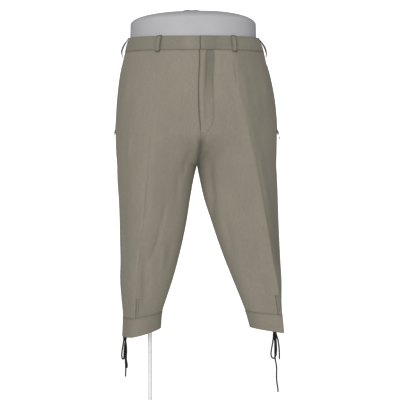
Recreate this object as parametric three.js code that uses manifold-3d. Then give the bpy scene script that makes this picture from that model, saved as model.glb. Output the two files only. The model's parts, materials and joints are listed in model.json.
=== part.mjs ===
// Three-quarter trousers with tied cuffs, on a limbless dress form with a stand.
// Millimetres, +Z up. The front faces -Y, and the wearer's left is +X.
// The origin is the middle of the stand's underside.

import * as THREE from "three";
import { mergeVertices } from "three/addons/utils/BufferGeometryUtils.js";
import Module from "manifold-3d";

const wasm = await Module();
wasm.setup();

// Cut of the garment. "Down" is measured from the waistband's top edge at the side seams.
const WAIST_HEIGHT = 1004;
const BAND_DEPTH = 36;
const FORK_START = 235; // where the crotch curve leaves the centre front and centre back
const FORK = 318; // where the four panels meet
const CROTCH_WIDTH = 0.06; // share of a panel's half over which the crotch curve softens into the leg
const CREASE_START = 150; // where the hips start to take the legs' shape at the creases
const CUFF_SEAM = { right: 694, left: 684.5 };
const HEM = { right: 742, left: 730 };
const CLOTH = 1.6;
const DOUBLE_CLOTH = 2.2;
const SEAM_GAP = 0.3;
const CUFF_GAP = 0.8; // the cuff is thicker than the leg, and its seam slants

// How far the top edge dips at the centre front and rises at the centre back, fading out over the hips
const FRONT_DIP = 11;
const BACK_RISE = 8;
const DIP_FADE = 210;

// Roundness of a hip section: 2 is an ellipse, and more is squarer
const HIP_SIDE_POWER = 2.3;
const HIP_FRONT_POWER = 2.3;
// Roundness of a leg section at its pressed creases: 2 is round, and 1 is a sharp corner
const CREASE_POWER = 1.35;

// Hip sections, shared by both halves: the two side seams, the centre seam, the centre front and centre
// back, and the pressed crease of each half, with how far its ridge stands out
const HIPS = table(
  ["down", "right", "left", "seam", "front", "back", "creaseRight", "creaseLeft", "ridgeRight", "ridgeLeft"],
  [
    [0, -160, 161, 18, -118, 112, -66, 94, 0, 0],
    [17, -166, 170.5, 18.3, -121, 114, -68, 95, 0, 0],
    [36, -170, 176.5, 18.5, -124, 117, -70, 97, 0, 1],
    [60, -175.5, 182, 19, -127, 122, -73, 100, 0.4, 2.5],
    [100, -183, 192.5, 17.2, -131, 133, -79, 104, 0.8, 3.5],
    [150, -188.8, 202.2, 16.4, -133, 145, -86, 112, 1.4, 4],
    [200, -192, 207.5, 18, -129, 151, -92, 126, 2.2, 4],
    [235, -193.8, 209, 20.6, -124.5, 148, -98, 134, 2.6, 3.5],
    [280, -193, 208.5, 16, -119, 142, -103, 145, 2.6, 3],
    [318, -190.3, 207.5, 9, -114, 136, -106, 153, 2, 2],
  ],
);

// Leg sections: inseam and side seam, front and back of the leg, its two creases, and how much higher
// the inseam lies than the side
const LEG_COLUMNS = ["down", "inner", "outer", "front", "back", "creaseFront", "creaseBack", "slant"];
const LEG_RIGHT = table(LEG_COLUMNS, [
  [318, 8.8, -190.3, -111.5, 131, -106, -95, 0],
  [354, 0.5, -189.5, -109, 124, -110, -95, 0],
  [404, -8, -186, -105, 115, -115, -95, 1],
  [454, -15.5, -184, -99, 106, -119, -97, 2.5],
  [504, -25, -183, -94, 98, -126, -100, 4],
  [554, -36.3, -181.5, -88, 89, -131, -103, 6],
  [604, -49.3, -182.3, -83, 83, -135.5, -107, 8],
  [654, -65, -179, -78, 77, -139, -111, 10.5],
  [694, -76.8, -175.5, -75, 74, -141.5, -114, 12.5],
  [742, -81.5, -177, -74, 73, -144.5, -115, 18],
]);
const LEG_LEFT = table(LEG_COLUMNS, [
  [318, 9.2, 207.5, -111.5, 131, 153, 110, 0],
  [354, 16.5, 209.5, -108, 124, 163, 112, 0],
  [404, 27.8, 211, -103, 115, 171, 114, 1],
  [454, 43.8, 212.5, -96, 106, 178, 118, 2],
  [504, 60.3, 215, -90, 97, 186, 124, 2.5],
  [554, 78.3, 217.5, -84, 88, 194, 130, 3],
  [604, 98.3, 220, -78, 82, 205, 138, 3.5],
  [654, 118.5, 219.5, -71, 76, 211, 146, 4],
  [684.5, 129.8, 221, -67, 72, 215.5, 150, 5],
  [730, 141.8, 225, -63, 68, 220.5, 154, 9],
]);

// "Bend" says how the slant of a leg's sections runs from its side to its inseam: 1 is straight.
const RIGHT = {
  side: -1, outer: HIPS.right, crease: HIPS.creaseRight, ridge: HIPS.ridgeRight, leg: LEG_RIGHT, bend: 1.5,
};
const LEFT = {
  side: 1, outer: HIPS.left, crease: HIPS.creaseLeft, ridge: HIPS.ridgeLeft, leg: LEG_LEFT, bend: 0.9,
};
const HALVES = { right: RIGHT, left: LEFT };

// Fly, pocket zips and tucks
const FLY = { width: 33, overhang: 1.5, end: 245, curve: 48, thick: 1.1 };
// Belt loops: each stands over the waistband in an arch, and its end is down on the panel. The front and
// back ones stay near their x, and the side ones lie on the side seam. "Lean" is how far a loop's end is
// from under its top, "turn" how far the middle of its arch is twisted, in degrees, and "sag" how low the
// arch's highest place lies, with 1 for the middle.
const LOOP = { width: 11.5, thick: 2, topEdge: -0.4, clear: 0.75 };
const LOOPS = {
  front_right: { half: RIGHT, x: -82, lean: -5, end: 42, arch: 3.4 },
  front_left: { half: LEFT, x: 98, lean: 3, end: 42, arch: 3.4 },
  side_right: { half: RIGHT, end: 49, arch: 7.2, turn: -26, sag: 1.7 },
  side_left: { half: LEFT, end: 49, arch: 4.4, turn: 26, sag: 1.7 },
  back_right: { half: RIGHT, x: -88, end: 42, arch: 3.4, back: true },
  back_left: { half: LEFT, x: 122, end: 42, arch: 3.4, back: true },
  back_centre: { half: LEFT, x: 19, end: 42, arch: 3.4, back: true },
};
const ZIP = { top: 68, end: 238, width: 7, thick: 0.9, lift: 0.35 };
const TUCK = { width: 6, length: 46, thick: 1.2, lift: 0.4, place: 0.225 };

// Zip slider and its pull: the pull turns about its cross bar, which lies under the slider's bridge
const SLIDER = {
  down: 235, width: 9, length: 12, thick: 1.6, bridgeWidth: 1.8, bridgeLength: 8, bridgeRise: 2.6, bridgeWall: 0.9,
};
const PULL = {
  width: 6.4, bar: 1, slot: 3, slotLength: 5.6, length: 17.5, thick: 1, tipLength: 5.5, tipThick: 3,
};
const PULL_LEAN = { right: 3, left: 13 }; // degrees that each pull stands off the cloth

// Laces: one loop and two free ends hang from a knot under each hem
const LACE = 4;
const KNOT = { radius: 6.2, depth: 11, flatten: 0.85 };
const KNOT_PLACE = {
  right: { x: -172, y: 18 },
  left: { x: 206.5, y: 39 },
};
// Routes from the knot's underside, right, back and up
const LACE_ROUTES = {
  right: {
    loop: [
      [-2.6, 0, 0], [-4, -0.5, -10.5], [-5.6, -1, -20.5], [-7, -1.5, -29.5], [-7.7, -2, -37.5],
      [-7.6, -2, -43.5], [-6.6, -2, -48], [-4.8, -2, -50.1], [-3, -2, -48.8], [-2.1, -1.8, -44.5],
      [-1.9, -1.4, -36.5], [-1.4, -1, -26.5], [-0.2, -0.5, -14.5], [2.6, 0, 0],
    ],
    short_end: [
      [1.2, -4.7, 0], [3.2, -5.2, -10.5], [4.2, -5, -21.5], [4.4, -4.8, -32.5], [3.8, -4.5, -42.5],
      [3.8, -4.4, -50.5], [5.1, -4.6, -58.5], [6, -5, -65.5], [5.4, -5.2, -72.5],
    ],
    long_end: [
      [0, 4.3, 0], [1.4, 5, -14.5], [1.6, 4.8, -26.5], [1.2, 4.4, -38.5], [0.8, 4, -50.5],
      [1.2, 4, -62.5], [1.8, 4.4, -74.5], [1.5, 4.8, -85.5], [1.2, 5, -96.5],
    ],
  },
  left: {
    loop: [
      [-2.8, 0, 0], [-3.4, 0.4, -13], [-4.6, 0.8, -23], [-6.4, 1.2, -34], [-8.3, 1.4, -45], [-9.2, 1.4, -53],
      [-8.9, 1.2, -59], [-6.8, 0.8, -63.6], [-3.6, 0.4, -65.6], [0, 0, -64.4], [2.6, -0.4, -60],
      [3.9, -0.6, -53], [4.5, -0.7, -45], [4.3, -0.6, -35], [3.6, -0.3, -25], [2.9, 0, -15], [2.6, 0, 0],
    ],
    short_end: [
      [2.6, -4.7, 0], [5.2, -5, -9.5], [7.6, -5.4, -17], [9.4, -5.8, -27], [10.7, -6, -38],
      [11.3, -6, -48], [11.5, -5.8, -57], [11.4, -5.6, -68],
    ],
    long_end: [
      [0, 4.4, 0], [0.4, 5, -15], [0.8, 5.4, -27], [1, 5.4, -39], [1, 5, -51], [1.2, 4.6, -62],
      [2.2, 4.4, -72], [4.2, 4.4, -82], [5.4, 4.6, -93], [5, 4.8, -106], [5.2, 4.8, -119], [6.6, 4.6, -132],
      [8.4, 4.4, -143], [8.8, 4.4, -153],
    ],
  },
};

// Dress form: smooth sections under the garment, narrower than it below the waist. It is as round as the
// garment, about the same centre seam.
const FORM_SHOULDER = 1036; // where its sides round over into a low dome
const FORM_BOTTOM = 722;
const DOME_RISE = 32;
const FORM = table(
  ["down", "half", "front", "back"],
  [
    [0, 156.6, -110, 105],
    [31, 157.3, -113, 108.3],
    [68, 160.5, -116, 112],
    [116, 166, -120, 120],
    [176, 173, -122, 131],
    [236, 177, -117, 135],
    [274, 176, -108, 130],
    [294, 172, -100, 122],
    [306, 164, -90, 110],
    [314, 149, -76, 94],
  ],
);

// Cap on the form's top, and the stand: a rod inside the right leg on a round base
const CAP = { x: -4, radius: 25, height: 3.4, studRadius: 6.5, studHeight: 3.4 };
const ROD = { x: -110, y: 35, radius: 5.5 };
const FLANGE = { radius: 18, height: 6 };
const BASE = { radius: 180, height: 8, bevel: 1.5 };

const material = (color, roughness, metalness = 0) =>
  new THREE.MeshStandardMaterial({ color, roughness, metalness });
const WOOL = material("#8a8778", 0.95);
const SHELL = material("#bdbdbe", 0.5);
const BLACK_STEEL = material("#2b2b2c", 0.5, 0.6);
const BRIGHT_STEEL = material("#b9bab8", 0.3, 1);
const WHITE_STEEL = material("#e4e4e2", 0.4);
const ZIP_METAL = material("#8f8c84", 0.4, 0.9);
const LEATHER = material("#2f2724", 0.7);

const trousers = new THREE.Group();

// Gives each named column of a table as a smooth function of its first column.
function table(columns, rows) {
  const positions = rows.map((row) => row[0]);
  const curves = {};
  columns.slice(1).forEach((name, i) => {
    const curve = new THREE.CubicInterpolant(positions, rows.map((row) => row[i + 1]), 1);
    curves[name] = (down) => curve.evaluate(down)[0];
  });
  return curves;
}

// A point of a hip section. t runs round one half: 0 at the centre front, 0.25 at the front crease,
// 0.5 at the side seam, 0.75 at the back crease and 1 at the centre back.
function hipPoint(half, t, down) {
  const seam = HIPS.seam(down);
  const reach = half.outer(down) - seam;
  const depth = t <= 0.5 ? HIPS.front(down) : HIPS.back(down);
  const u = t <= 0.5 ? t : 1 - t;
  const creaseAngle = hipAngle(half, down, half.crease(down));
  const angle =
    u < 0.25 ? (u / 0.25) * creaseAngle : creaseAngle + ((u - 0.25) / 0.25) * (Math.PI / 2 - creaseAngle);
  const x = seam + reach * Math.sin(angle) ** (2 / HIP_SIDE_POWER);
  const across = Math.max(0, Math.cos(angle)) ** (2 / HIP_FRONT_POWER);
  const ridge = t <= 0.5 ? half.ridge(down) * Math.max(0, 1 - Math.abs(u - 0.25) / 0.05) : 0;
  return new THREE.Vector3(x, depth * across - ridge, 0);
}

// The angle round a hip section at which it reaches x.
function hipAngle(half, down, x) {
  const seam = HIPS.seam(down);
  const share = Math.max(0, (x - seam) / (half.outer(down) - seam));
  return Math.asin(Math.min(1, share ** (HIP_SIDE_POWER / 2)));
}

// A point of a leg section. t runs round the leg: 0 and 1 at the inseam, 0.5 at the side seam, and the
// creases at 0.25 and 0.75.
function legPoint(half, t, down) {
  const leg = half.leg;
  const front = t <= 0.5;
  const u = front ? t : 1 - t;
  const crease = front ? leg.creaseFront(down) : leg.creaseBack(down);
  const depth = front ? leg.front(down) : leg.back(down);
  const edge = u < 0.25 ? leg.inner(down) : leg.outer(down);
  const angle = ((u < 0.25 ? u : 0.5 - u) / 0.25) * (Math.PI / 2);
  const x = crease + (edge - crease) * Math.max(0, Math.cos(angle)) ** (2 / CREASE_POWER);
  const fromSide = (x - leg.outer(down)) / (leg.inner(down) - leg.outer(down));
  return new THREE.Vector3(x, depth * Math.sin(angle), leg.slant(down) * Math.max(0, fromSide) ** half.bend);
}

// How far round the crotch curve the centre edge is, in radians.
function crotchTurn(down) {
  return (THREE.MathUtils.clamp(down - FORK_START, 0, FORK - FORK_START) / (FORK - FORK_START)) * (Math.PI / 2);
}

// The x of the centre edge, which runs from the hips' centre seam to the middle of the fork.
function centreX(down) {
  return THREE.MathUtils.lerp(HIPS.seam(down), HIPS.seam(FORK), 1 - Math.cos(crotchTurn(down)));
}

// A point of the garment's outer surface.
function garmentPoint(half, t, down) {
  const height = WAIST_HEIGHT - down;
  if (down >= FORK) {
    const point = legPoint(half, t, down);
    point.z += height;
    return point;
  }
  const point = hipPoint(half, t, down);
  const fade = Math.max(0, 1 - down / DIP_FADE);
  const lean = point.y < 0 ? (-FRONT_DIP * point.y) / HIPS.front(down) : (BACK_RISE * point.y) / HIPS.back(down);
  point.z = height + fade * lean;
  if (down <= CREASE_START) return point;
  // From the hips to the legs the centre edge follows a quarter of an ellipse, down and under. The cloth
  // beside it runs smoothly into the leg, and the creases take the legs' shape more slowly.
  const u = t <= 0.5 ? t : 1 - t;
  const turn = crotchTurn(down);
  const beside = THREE.MathUtils.smoothstep(down, FORK_START, FORK);
  const atCentre = THREE.MathUtils.lerp(
    1 - Math.cos(turn), beside, THREE.MathUtils.smoothstep(u, 0, CROTCH_WIDTH),
  );
  const atCrease = THREE.MathUtils.smoothstep(down, CREASE_START, FORK);
  const leg = legPoint(half, t, FORK);
  leg.z += height;
  const share = THREE.MathUtils.lerp(atCentre, atCrease, Math.min(1, u / 0.25) ** 3);
  point.lerp(leg, share);
  const sideDrift = (half.outer(down) - half.leg.outer(FORK)) * share;
  point.x += sideDrift * Math.max(0, u / 0.25 - 1) ** 2;
  if (down <= FORK_START) return point;
  const nearCentre = u < 0.25 ? Math.cos((u / 0.25) * (Math.PI / 2)) ** 2 : 0;
  const centreHeight = WAIST_HEIGHT - FORK_START - (FORK - FORK_START) * Math.sin(turn);
  point.z += (centreHeight - height) * nearCentre;
  return point;
}

// The outward normal of the garment's surface.
function garmentNormal(half, t, down) {
  const dt = 0.004;
  const before = garmentPoint(half, Math.max(0, t - dt), down);
  const after = garmentPoint(half, Math.min(1, t + dt), down);
  const above = garmentPoint(half, t, Math.max(0, down - 1));
  const below = garmentPoint(half, t, down + 1);
  const across = after.sub(before);
  const along = below.sub(above);
  return along.cross(across).multiplyScalar(half.side).normalize();
}

// Where a hip section reaches x, as t on the front or back of a half.
function tAt(half, down, x, back = false) {
  const creaseAngle = hipAngle(half, down, half.crease(down));
  const angle = hipAngle(half, down, x);
  const u =
    angle < creaseAngle
      ? (angle / creaseAngle) * 0.25
      : 0.25 + ((angle - creaseAngle) / (Math.PI / 2 - creaseAngle)) * 0.25;
  return back ? 1 - u : u;
}

// The side seam's t, for any down.
const atSide = () => 0.5;

// Evenly spaced numbers from a to b, both included.
function span(a, b, steps) {
  return Array.from({ length: steps + 1 }, (_, i) => a + ((b - a) * i) / steps);
}

// A closed solid between two grids of points, with a rim all round. A wrapped grid closes on itself
// across its columns.
function solidBetween(outer, inner, wrapped = false) {
  const rows = outer.length;
  const columns = outer[0].length;
  const points = [...outer.flat(), ...inner.flat()];
  const at = (layer, i, j) => layer * rows * columns + i * columns + (j % columns);
  const faces = [];
  const quad = (a, b, c, d) => faces.push(a, b, c, a, c, d);
  const lastColumn = wrapped ? columns : columns - 1;
  for (let i = 0; i < rows - 1; i++)
    for (let j = 0; j < lastColumn; j++) {
      quad(at(0, i, j), at(0, i + 1, j), at(0, i + 1, j + 1), at(0, i, j + 1));
      quad(at(1, i, j), at(1, i, j + 1), at(1, i + 1, j + 1), at(1, i + 1, j));
    }
  for (let j = 0; j < lastColumn; j++) {
    quad(at(0, 0, j), at(0, 0, j + 1), at(1, 0, j + 1), at(1, 0, j));
    quad(at(0, rows - 1, j + 1), at(0, rows - 1, j), at(1, rows - 1, j), at(1, rows - 1, j + 1));
  }
  if (!wrapped)
    for (let i = 0; i < rows - 1; i++) {
      quad(at(0, i + 1, 0), at(0, i, 0), at(1, i, 0), at(1, i + 1, 0));
      quad(at(0, i, columns - 1), at(0, i + 1, columns - 1), at(1, i + 1, columns - 1), at(1, i, columns - 1));
    }
  return facingOut(points, faces);
}

// A closed solid through rings of points, with a flat end at each end ring.
function solidThrough(rings) {
  const count = rings[0].length;
  const points = rings.flat();
  const faces = [];
  for (let i = 0; i < rings.length - 1; i++)
    for (let j = 0; j < count; j++) {
      const a = i * count + j;
      const b = i * count + ((j + 1) % count);
      faces.push(a, b, b + count, a, b + count, a + count);
    }
  const middle = (ring) => ring.reduce((sum, p) => sum.add(p), new THREE.Vector3()).divideScalar(count);
  points.push(middle(rings[0]), middle(rings.at(-1)));
  const last = (rings.length - 1) * count;
  for (let j = 0; j < count; j++) {
    const next = (j + 1) % count;
    faces.push(points.length - 2, next, j);
    faces.push(points.length - 1, last + j, last + next);
  }
  return facingOut(points, faces);
}

// Geometry from points and faces, turned so that its faces point outwards.
function facingOut(points, faces) {
  let volume = 0;
  for (let i = 0; i < faces.length; i += 3) {
    const [a, b, c] = [points[faces[i]], points[faces[i + 1]], points[faces[i + 2]]];
    volume += a.dot(new THREE.Vector3().crossVectors(b, c));
  }
  if (volume < 0) faces.reverse();
  return new THREE.BufferGeometry().setFromPoints(points).setIndex(faces);
}

// A closed geometry as a solid that can be joined to another.
function solidOf(geometry) {
  const bare = geometry.clone();
  bare.deleteAttribute("normal");
  bare.deleteAttribute("uv");
  const merged = mergeVertices(bare, 1e-4);
  const vertProperties = merged.attributes.position.array;
  const triVerts = new Uint32Array(merged.index.array);
  return new wasm.Manifold(new wasm.Mesh({ numProp: 3, vertProperties, triVerts }));
}

// One closed geometry out of overlapping ones.
function joined(...geometries) {
  const mesh = geometries.map(solidOf).reduce((sum, next) => sum.add(next)).getMesh();
  const positions = new THREE.BufferAttribute(mesh.vertProperties, 3);
  return new THREE.BufferGeometry()
    .setAttribute("position", positions)
    .setIndex(new THREE.BufferAttribute(mesh.triVerts, 1));
}

function add(name, geometry, finish, parent = trousers) {
  const mesh = new THREE.Mesh(geometry, finish);
  mesh.name = name;
  parent.add(mesh);
  return mesh;
}

// Cloth over part of one half: a grid of t by down, lifted off the surface and given a thickness.
// keep moves back each point that would cross a seam.
function cloth(half, ts, downs, lift, thick, keep = (point) => point, wrapped = false) {
  const grid = (height) =>
    downs.map((down) =>
      ts.map((t) => {
        const point = garmentPoint(half, t, down);
        point.addScaledVector(garmentNormal(half, t, down), height);
        return keep(point, down);
      }),
    );
  return solidBetween(grid(lift + thick), grid(lift), wrapped);
}

// Holds a point half a seam's gap clear of the centre seam.
function clearOfCentre(half) {
  return (point, down) => {
    const limit = centreX(down) + (half.side * SEAM_GAP) / 2;
    if ((point.x - limit) * half.side < 0) point.x = limit;
    return point;
  };
}

function makePanels() {
  for (const [name, half] of Object.entries(HALVES)) {
    const downs = [
      ...span(BAND_DEPTH + SEAM_GAP, FORK_START, 6),
      ...span(FORK_START, FORK, 6).slice(1),
      ...span(FORK, CUFF_SEAM[name] - CUFF_GAP / 2, 14).slice(1),
    ];
    const centre = clearOfCentre(half);
    const front = (point, down) => {
      point.y = Math.min(point.y, -SEAM_GAP / 2);
      return centre(point, down);
    };
    const back = (point, down) => {
      point.y = Math.max(point.y, SEAM_GAP / 2);
      return centre(point, down);
    };
    add("front_" + name, cloth(half, span(0, 0.5, 10), downs, -CLOTH, CLOTH, front), WOOL);
    add("back_" + name, cloth(half, span(0.5, 1, 10), downs, -CLOTH, CLOTH, back), WOOL);
  }
}

function makeWaistband() {
  const downs = span(0, BAND_DEPTH, 3);
  const lift = 0.4 - DOUBLE_CLOTH;
  for (const [name, half] of Object.entries(HALVES)) {
    const band = cloth(half, span(0, 1, 32), downs, lift, DOUBLE_CLOTH, clearOfCentre(half));
    add("waistband_" + name, band, WOOL);
  }
}

// The fly lies on the left front, from just over the centre seam to its curved stitching.
function makeFly() {
  const curveStart = FLY.end - FLY.curve;
  const downs = [...span(BAND_DEPTH + 1, curveStart, 5), ...span(curveStart, FLY.end - 1, 6).slice(1)];
  const width = (down) => {
    const share = Math.max(0, (down - curveStart) / FLY.curve);
    return FLY.width * Math.sqrt(1 - share * share);
  };
  const layer = (height) =>
    downs.map((down) =>
      span(-FLY.overhang, width(down), 4).map((offset) => {
        const t = tAt(LEFT, down, HIPS.seam(down) + Math.max(0, offset));
        const point = garmentPoint(LEFT, t, down);
        point.addScaledVector(garmentNormal(LEFT, t, down), height);
        point.x += Math.min(0, offset);
        return point;
      }),
    );
  add("fly", solidBetween(layer(SEAM_GAP + FLY.thick), layer(SEAM_GAP)), WOOL);
}

// A strip down the garment: place gives its t for each down, rise its outward lift and turn its twist in
// radians for each share of its length.
function strip(half, place, downs, width, thick, rise, turn = () => 0) {
  const layer = (height) =>
    downs.map((down, i) => {
      const t = place(down);
      const middle = garmentPoint(half, t, down);
      const normal = garmentNormal(half, t, down);
      const share = i / (downs.length - 1);
      const across = new THREE.Vector3(-normal.y, normal.x, 0).normalize();
      across.multiplyScalar(Math.cos(turn(share))).addScaledVector(normal, Math.sin(turn(share)));
      const lift = rise(share) + height;
      return [-0.5, 0.5].map((side) =>
        middle.clone().addScaledVector(normal, lift).addScaledVector(across, side * width),
      );
    });
  return solidBetween(layer(thick), layer(0));
}

function makeBeltLoops() {
  for (const [name, { half, x, lean = 0, end, arch, turn = 0, sag = 1, back }] of Object.entries(LOOPS)) {
    const along = (down) => x + lean * (down / end - 0.5);
    const place = x === undefined ? atSide : (down) => tAt(half, down, along(down), back);
    const rise = (share) => LOOP.clear + arch * Math.sin(Math.PI * share ** sag) ** 0.8;
    const twist = (share) => THREE.MathUtils.degToRad(turn) * Math.sin(Math.PI * share);
    const loop = strip(half, place, span(LOOP.topEdge, end, 10), LOOP.width, LOOP.thick, rise, twist);
    add("belt_loop_" + name, loop, WOOL);
  }
}

// The slider's body with its bridge, made flat on the YZ plane and facing +X, with the pull's axis at
// the origin.
function sliderGeometry() {
  const axisRise = (SLIDER.bridgeRise - SLIDER.bridgeWall) / 2;
  const body = new THREE.BoxGeometry(SLIDER.thick, SLIDER.width, SLIDER.length);
  body.translate(-axisRise - SLIDER.thick / 2, 0, 0);
  const outline = new THREE.Shape();
  const half = SLIDER.bridgeLength / 2;
  const wall = SLIDER.bridgeWall;
  const top = SLIDER.bridgeRise - axisRise;
  const foot = -axisRise - 0.5;
  outline.moveTo(foot, -half).lineTo(top - wall, -half).lineTo(top, wall - half).lineTo(top, half - wall);
  outline.lineTo(top - wall, half).lineTo(foot, half).lineTo(foot, half - wall);
  outline.lineTo(top - wall, half - wall).lineTo(top - wall, wall - half).lineTo(foot, wall - half);
  const bridge = new THREE.ExtrudeGeometry(outline, { depth: SLIDER.bridgeWidth, bevelEnabled: false });
  bridge.translate(0, 0, -SLIDER.bridgeWidth / 2).rotateX(Math.PI / 2);
  return joined(body, bridge);
}

// The pull hangs along -Z from its cross bar at the origin: two rails round a slot, and a thick tip.
function pullGeometry() {
  const outline = new THREE.Shape();
  const half = PULL.width / 2;
  const waist = half - 0.7;
  const shoulder = -PULL.slotLength - 0.9;
  outline.moveTo(-half, PULL.bar / 2).lineTo(half, PULL.bar / 2).lineTo(half, shoulder);
  outline.lineTo(waist, shoulder - 2.2).lineTo(waist, -PULL.length + 1);
  outline.lineTo(waist - 1, -PULL.length).lineTo(1 - waist, -PULL.length).lineTo(-waist, -PULL.length + 1);
  outline.lineTo(-waist, shoulder - 2.2).lineTo(-half, shoulder);
  const slot = new THREE.Path();
  slot.moveTo(-PULL.slot / 2, -PULL.bar / 2).lineTo(-PULL.slot / 2, -PULL.slotLength);
  slot.lineTo(PULL.slot / 2, -PULL.slotLength).lineTo(PULL.slot / 2, -PULL.bar / 2);
  outline.holes.push(slot);
  const plate = new THREE.ExtrudeGeometry(outline, { depth: PULL.thick, bevelEnabled: false });
  plate.translate(0, 0, -PULL.thick / 2);
  const tip = new THREE.CylinderGeometry(PULL.tipThick / 2, PULL.tipThick / 2, 2 * waist - 0.4, 12);
  tip.rotateZ(Math.PI / 2).scale(1, PULL.tipLength / PULL.tipThick, 1);
  tip.translate(0, PULL.tipLength / 2 - PULL.length - 0.2, 0);
  return joined(plate, tip).rotateX(Math.PI / 2).rotateZ(Math.PI / 2);
}

function makePocketZips() {
  for (const [name, half] of Object.entries(HALVES)) {
    const downs = span(ZIP.top, ZIP.end, 10);
    add("pocket_zip_" + name, strip(half, atSide, downs, ZIP.width, ZIP.thick, () => ZIP.lift), ZIP_METAL);
    const axisRise = (SLIDER.bridgeRise - SLIDER.bridgeWall) / 2;
    const stand = ZIP.lift + ZIP.thick + SEAM_GAP + SLIDER.thick + axisRise;
    const carrier = new THREE.Group();
    carrier.position.copy(garmentPoint(half, 0.5, SLIDER.down));
    carrier.position.x += half.side * stand;
    carrier.rotation.z = half.side > 0 ? 0 : Math.PI;
    trousers.add(carrier);
    add("zip_slider_" + name, sliderGeometry(), ZIP_METAL, carrier);
    const pull = add("zip_pull_" + name, pullGeometry(), ZIP_METAL, carrier);
    pull.rotation.y = -THREE.MathUtils.degToRad(PULL_LEAN[name]);
  }
}

function makeCuffs() {
  const ts = span(0, 1, 32).slice(0, -1);
  const lift = 0.5 - DOUBLE_CLOTH;
  for (const [name, half] of Object.entries(HALVES)) {
    const downs = span(CUFF_SEAM[name] + CUFF_GAP / 2, HEM[name], 4);
    add("cuff_" + name, cloth(half, ts, downs, lift, DOUBLE_CLOTH, undefined, true), WOOL);
    const tuckEnd = CUFF_SEAM[name] - 1;
    const tuckDowns = span(tuckEnd - TUCK.length, tuckEnd, 5);
    const tuck = strip(half, () => TUCK.place, tuckDowns, TUCK.width, TUCK.thick, () => TUCK.lift);
    add("tuck_" + name, tuck, WOOL);
  }
}

function knotGeometry() {
  const { radius, depth } = KNOT;
  const edge = 2.2;
  const profile = [[0, 0], [radius - edge, 0], [radius - 0.6, 0.6], [radius, edge]];
  const mirrored = profile.map(([r, z]) => [r, depth - z]).reverse();
  const points = [...profile, ...mirrored].map(([r, z]) => new THREE.Vector2(r, z));
  return new THREE.LatheGeometry(points, 14).rotateX(Math.PI / 2).scale(1, KNOT.flatten, 1);
}

function makeLaces() {
  const section = new THREE.Shape().absarc(0, 0, LACE / 2, 0, 2 * Math.PI);
  for (const [name, half] of Object.entries(HALVES)) {
    const { x, y } = KNOT_PLACE[name];
    const hem = garmentPoint(half, hemT(half, name, y), HEM[name]).z;
    const knotBottom = hem - 1.8 * SEAM_GAP - KNOT.depth;
    add("lace_knot_" + name, knotGeometry(), LEATHER).position.set(x, y, knotBottom);
    for (const [part, route] of Object.entries(LACE_ROUTES[name])) {
      const points = route.map((p) => new THREE.Vector3(...p));
      const path = new THREE.CatmullRomCurve3(points);
      const steps = Math.round(path.getLength() / (2.4 * LACE));
      const options = { steps, curveSegments: 8, extrudePath: path, bevelEnabled: false };
      const lace = add(`lace_${part}_${name}`, new THREE.ExtrudeGeometry(section, options), LEATHER);
      lace.position.set(x, y, knotBottom - 2 * SEAM_GAP);
    }
  }
}

// Where the back of a cuff's hem reaches the depth y, as t.
function hemT(half, name, y) {
  return 0.5 + (0.25 * Math.asin(y / half.leg.back(HEM[name]))) / (Math.PI / 2);
}

// A ring of the form's section, drawn smaller by scale and lifted by rise.
function formRing(down, scale = 1, rise = 0) {
  const sides = 36;
  const seam = HIPS.seam(down + WAIST_HEIGHT - FORM_SHOULDER);
  return span(0, 2 * Math.PI, sides)
    .slice(0, -1)
    .map((angle) => {
      const [c, s] = [Math.cos(angle), Math.sin(angle)];
      const reach = FORM.half(down) - Math.sign(c) * seam;
      const depth = s < 0 ? -FORM.front(down) : FORM.back(down);
      const x = seam + scale * Math.sign(c) * reach * Math.abs(c) ** (2 / HIP_SIDE_POWER);
      const y = scale * Math.sign(s) * depth * Math.abs(s) ** (2 / HIP_FRONT_POWER);
      return new THREE.Vector3(x, y, FORM_SHOULDER - down + rise);
    });
}

function makeForm() {
  const crown = THREE.MathUtils.degToRad(84);
  const dome = span(crown, 0, 7).map((angle) => formRing(0, Math.cos(angle), DOME_RISE * Math.sin(angle)));
  const length = FORM_SHOULDER - FORM_BOTTOM;
  const foot = 20; // height over which its underside draws in
  const downs = [...span(0, length - foot, 11).slice(1), ...span(length - foot, length, 4).slice(1)];
  add("dress_form", solidThrough([...dome, ...downs.map((down) => formRing(down))]), SHELL);
}

// A round piece standing on z, with its top edge bevelled.
function disc(radius, height, bevel, sides) {
  const profile = [[0, 0], [radius, 0], [radius, height - bevel], [radius - bevel, height], [0, height]];
  const points = profile.map(([r, z]) => new THREE.Vector2(r, z));
  return new THREE.LatheGeometry(points, sides).rotateX(Math.PI / 2);
}

function makeStand() {
  const rodLength = FORM_BOTTOM - FLANGE.height - BASE.height;
  const crown = FORM_SHOULDER + DOME_RISE;
  add("form_cap", disc(CAP.radius, CAP.height, 1, 28), BLACK_STEEL).position.set(CAP.x, 0, crown);
  const stud = disc(CAP.studRadius, CAP.studHeight, 0.6, 16);
  add("form_cap_stud", stud, BRIGHT_STEEL).position.set(CAP.x, 0, crown + CAP.height);
  const flange = add("stand_flange", disc(FLANGE.radius, FLANGE.height, 1, 24), WHITE_STEEL);
  flange.position.set(ROD.x, ROD.y, FORM_BOTTOM - FLANGE.height);
  const rod = add("stand_rod", disc(ROD.radius, rodLength, 0.5, 20), WHITE_STEEL);
  rod.position.set(ROD.x, ROD.y, BASE.height);
  add("stand_base", disc(BASE.radius, BASE.height, BASE.bevel, 64), WHITE_STEEL);
}

makeForm();
makeStand();
makePanels();
makeWaistband();
makeFly();
makeBeltLoops();
makePocketZips();
makeCuffs();
makeLaces();

export default trousers;
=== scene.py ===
"""Looks of three-quarter trousers with tied cuffs, on a limbless dress form with a stand.

Tables and size fields are millimetres, as in the part's source, and become metres where a mesh is made.
The front faces -Y, the wearer's left is +X, and the floor is at z = 0.
"""

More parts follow.
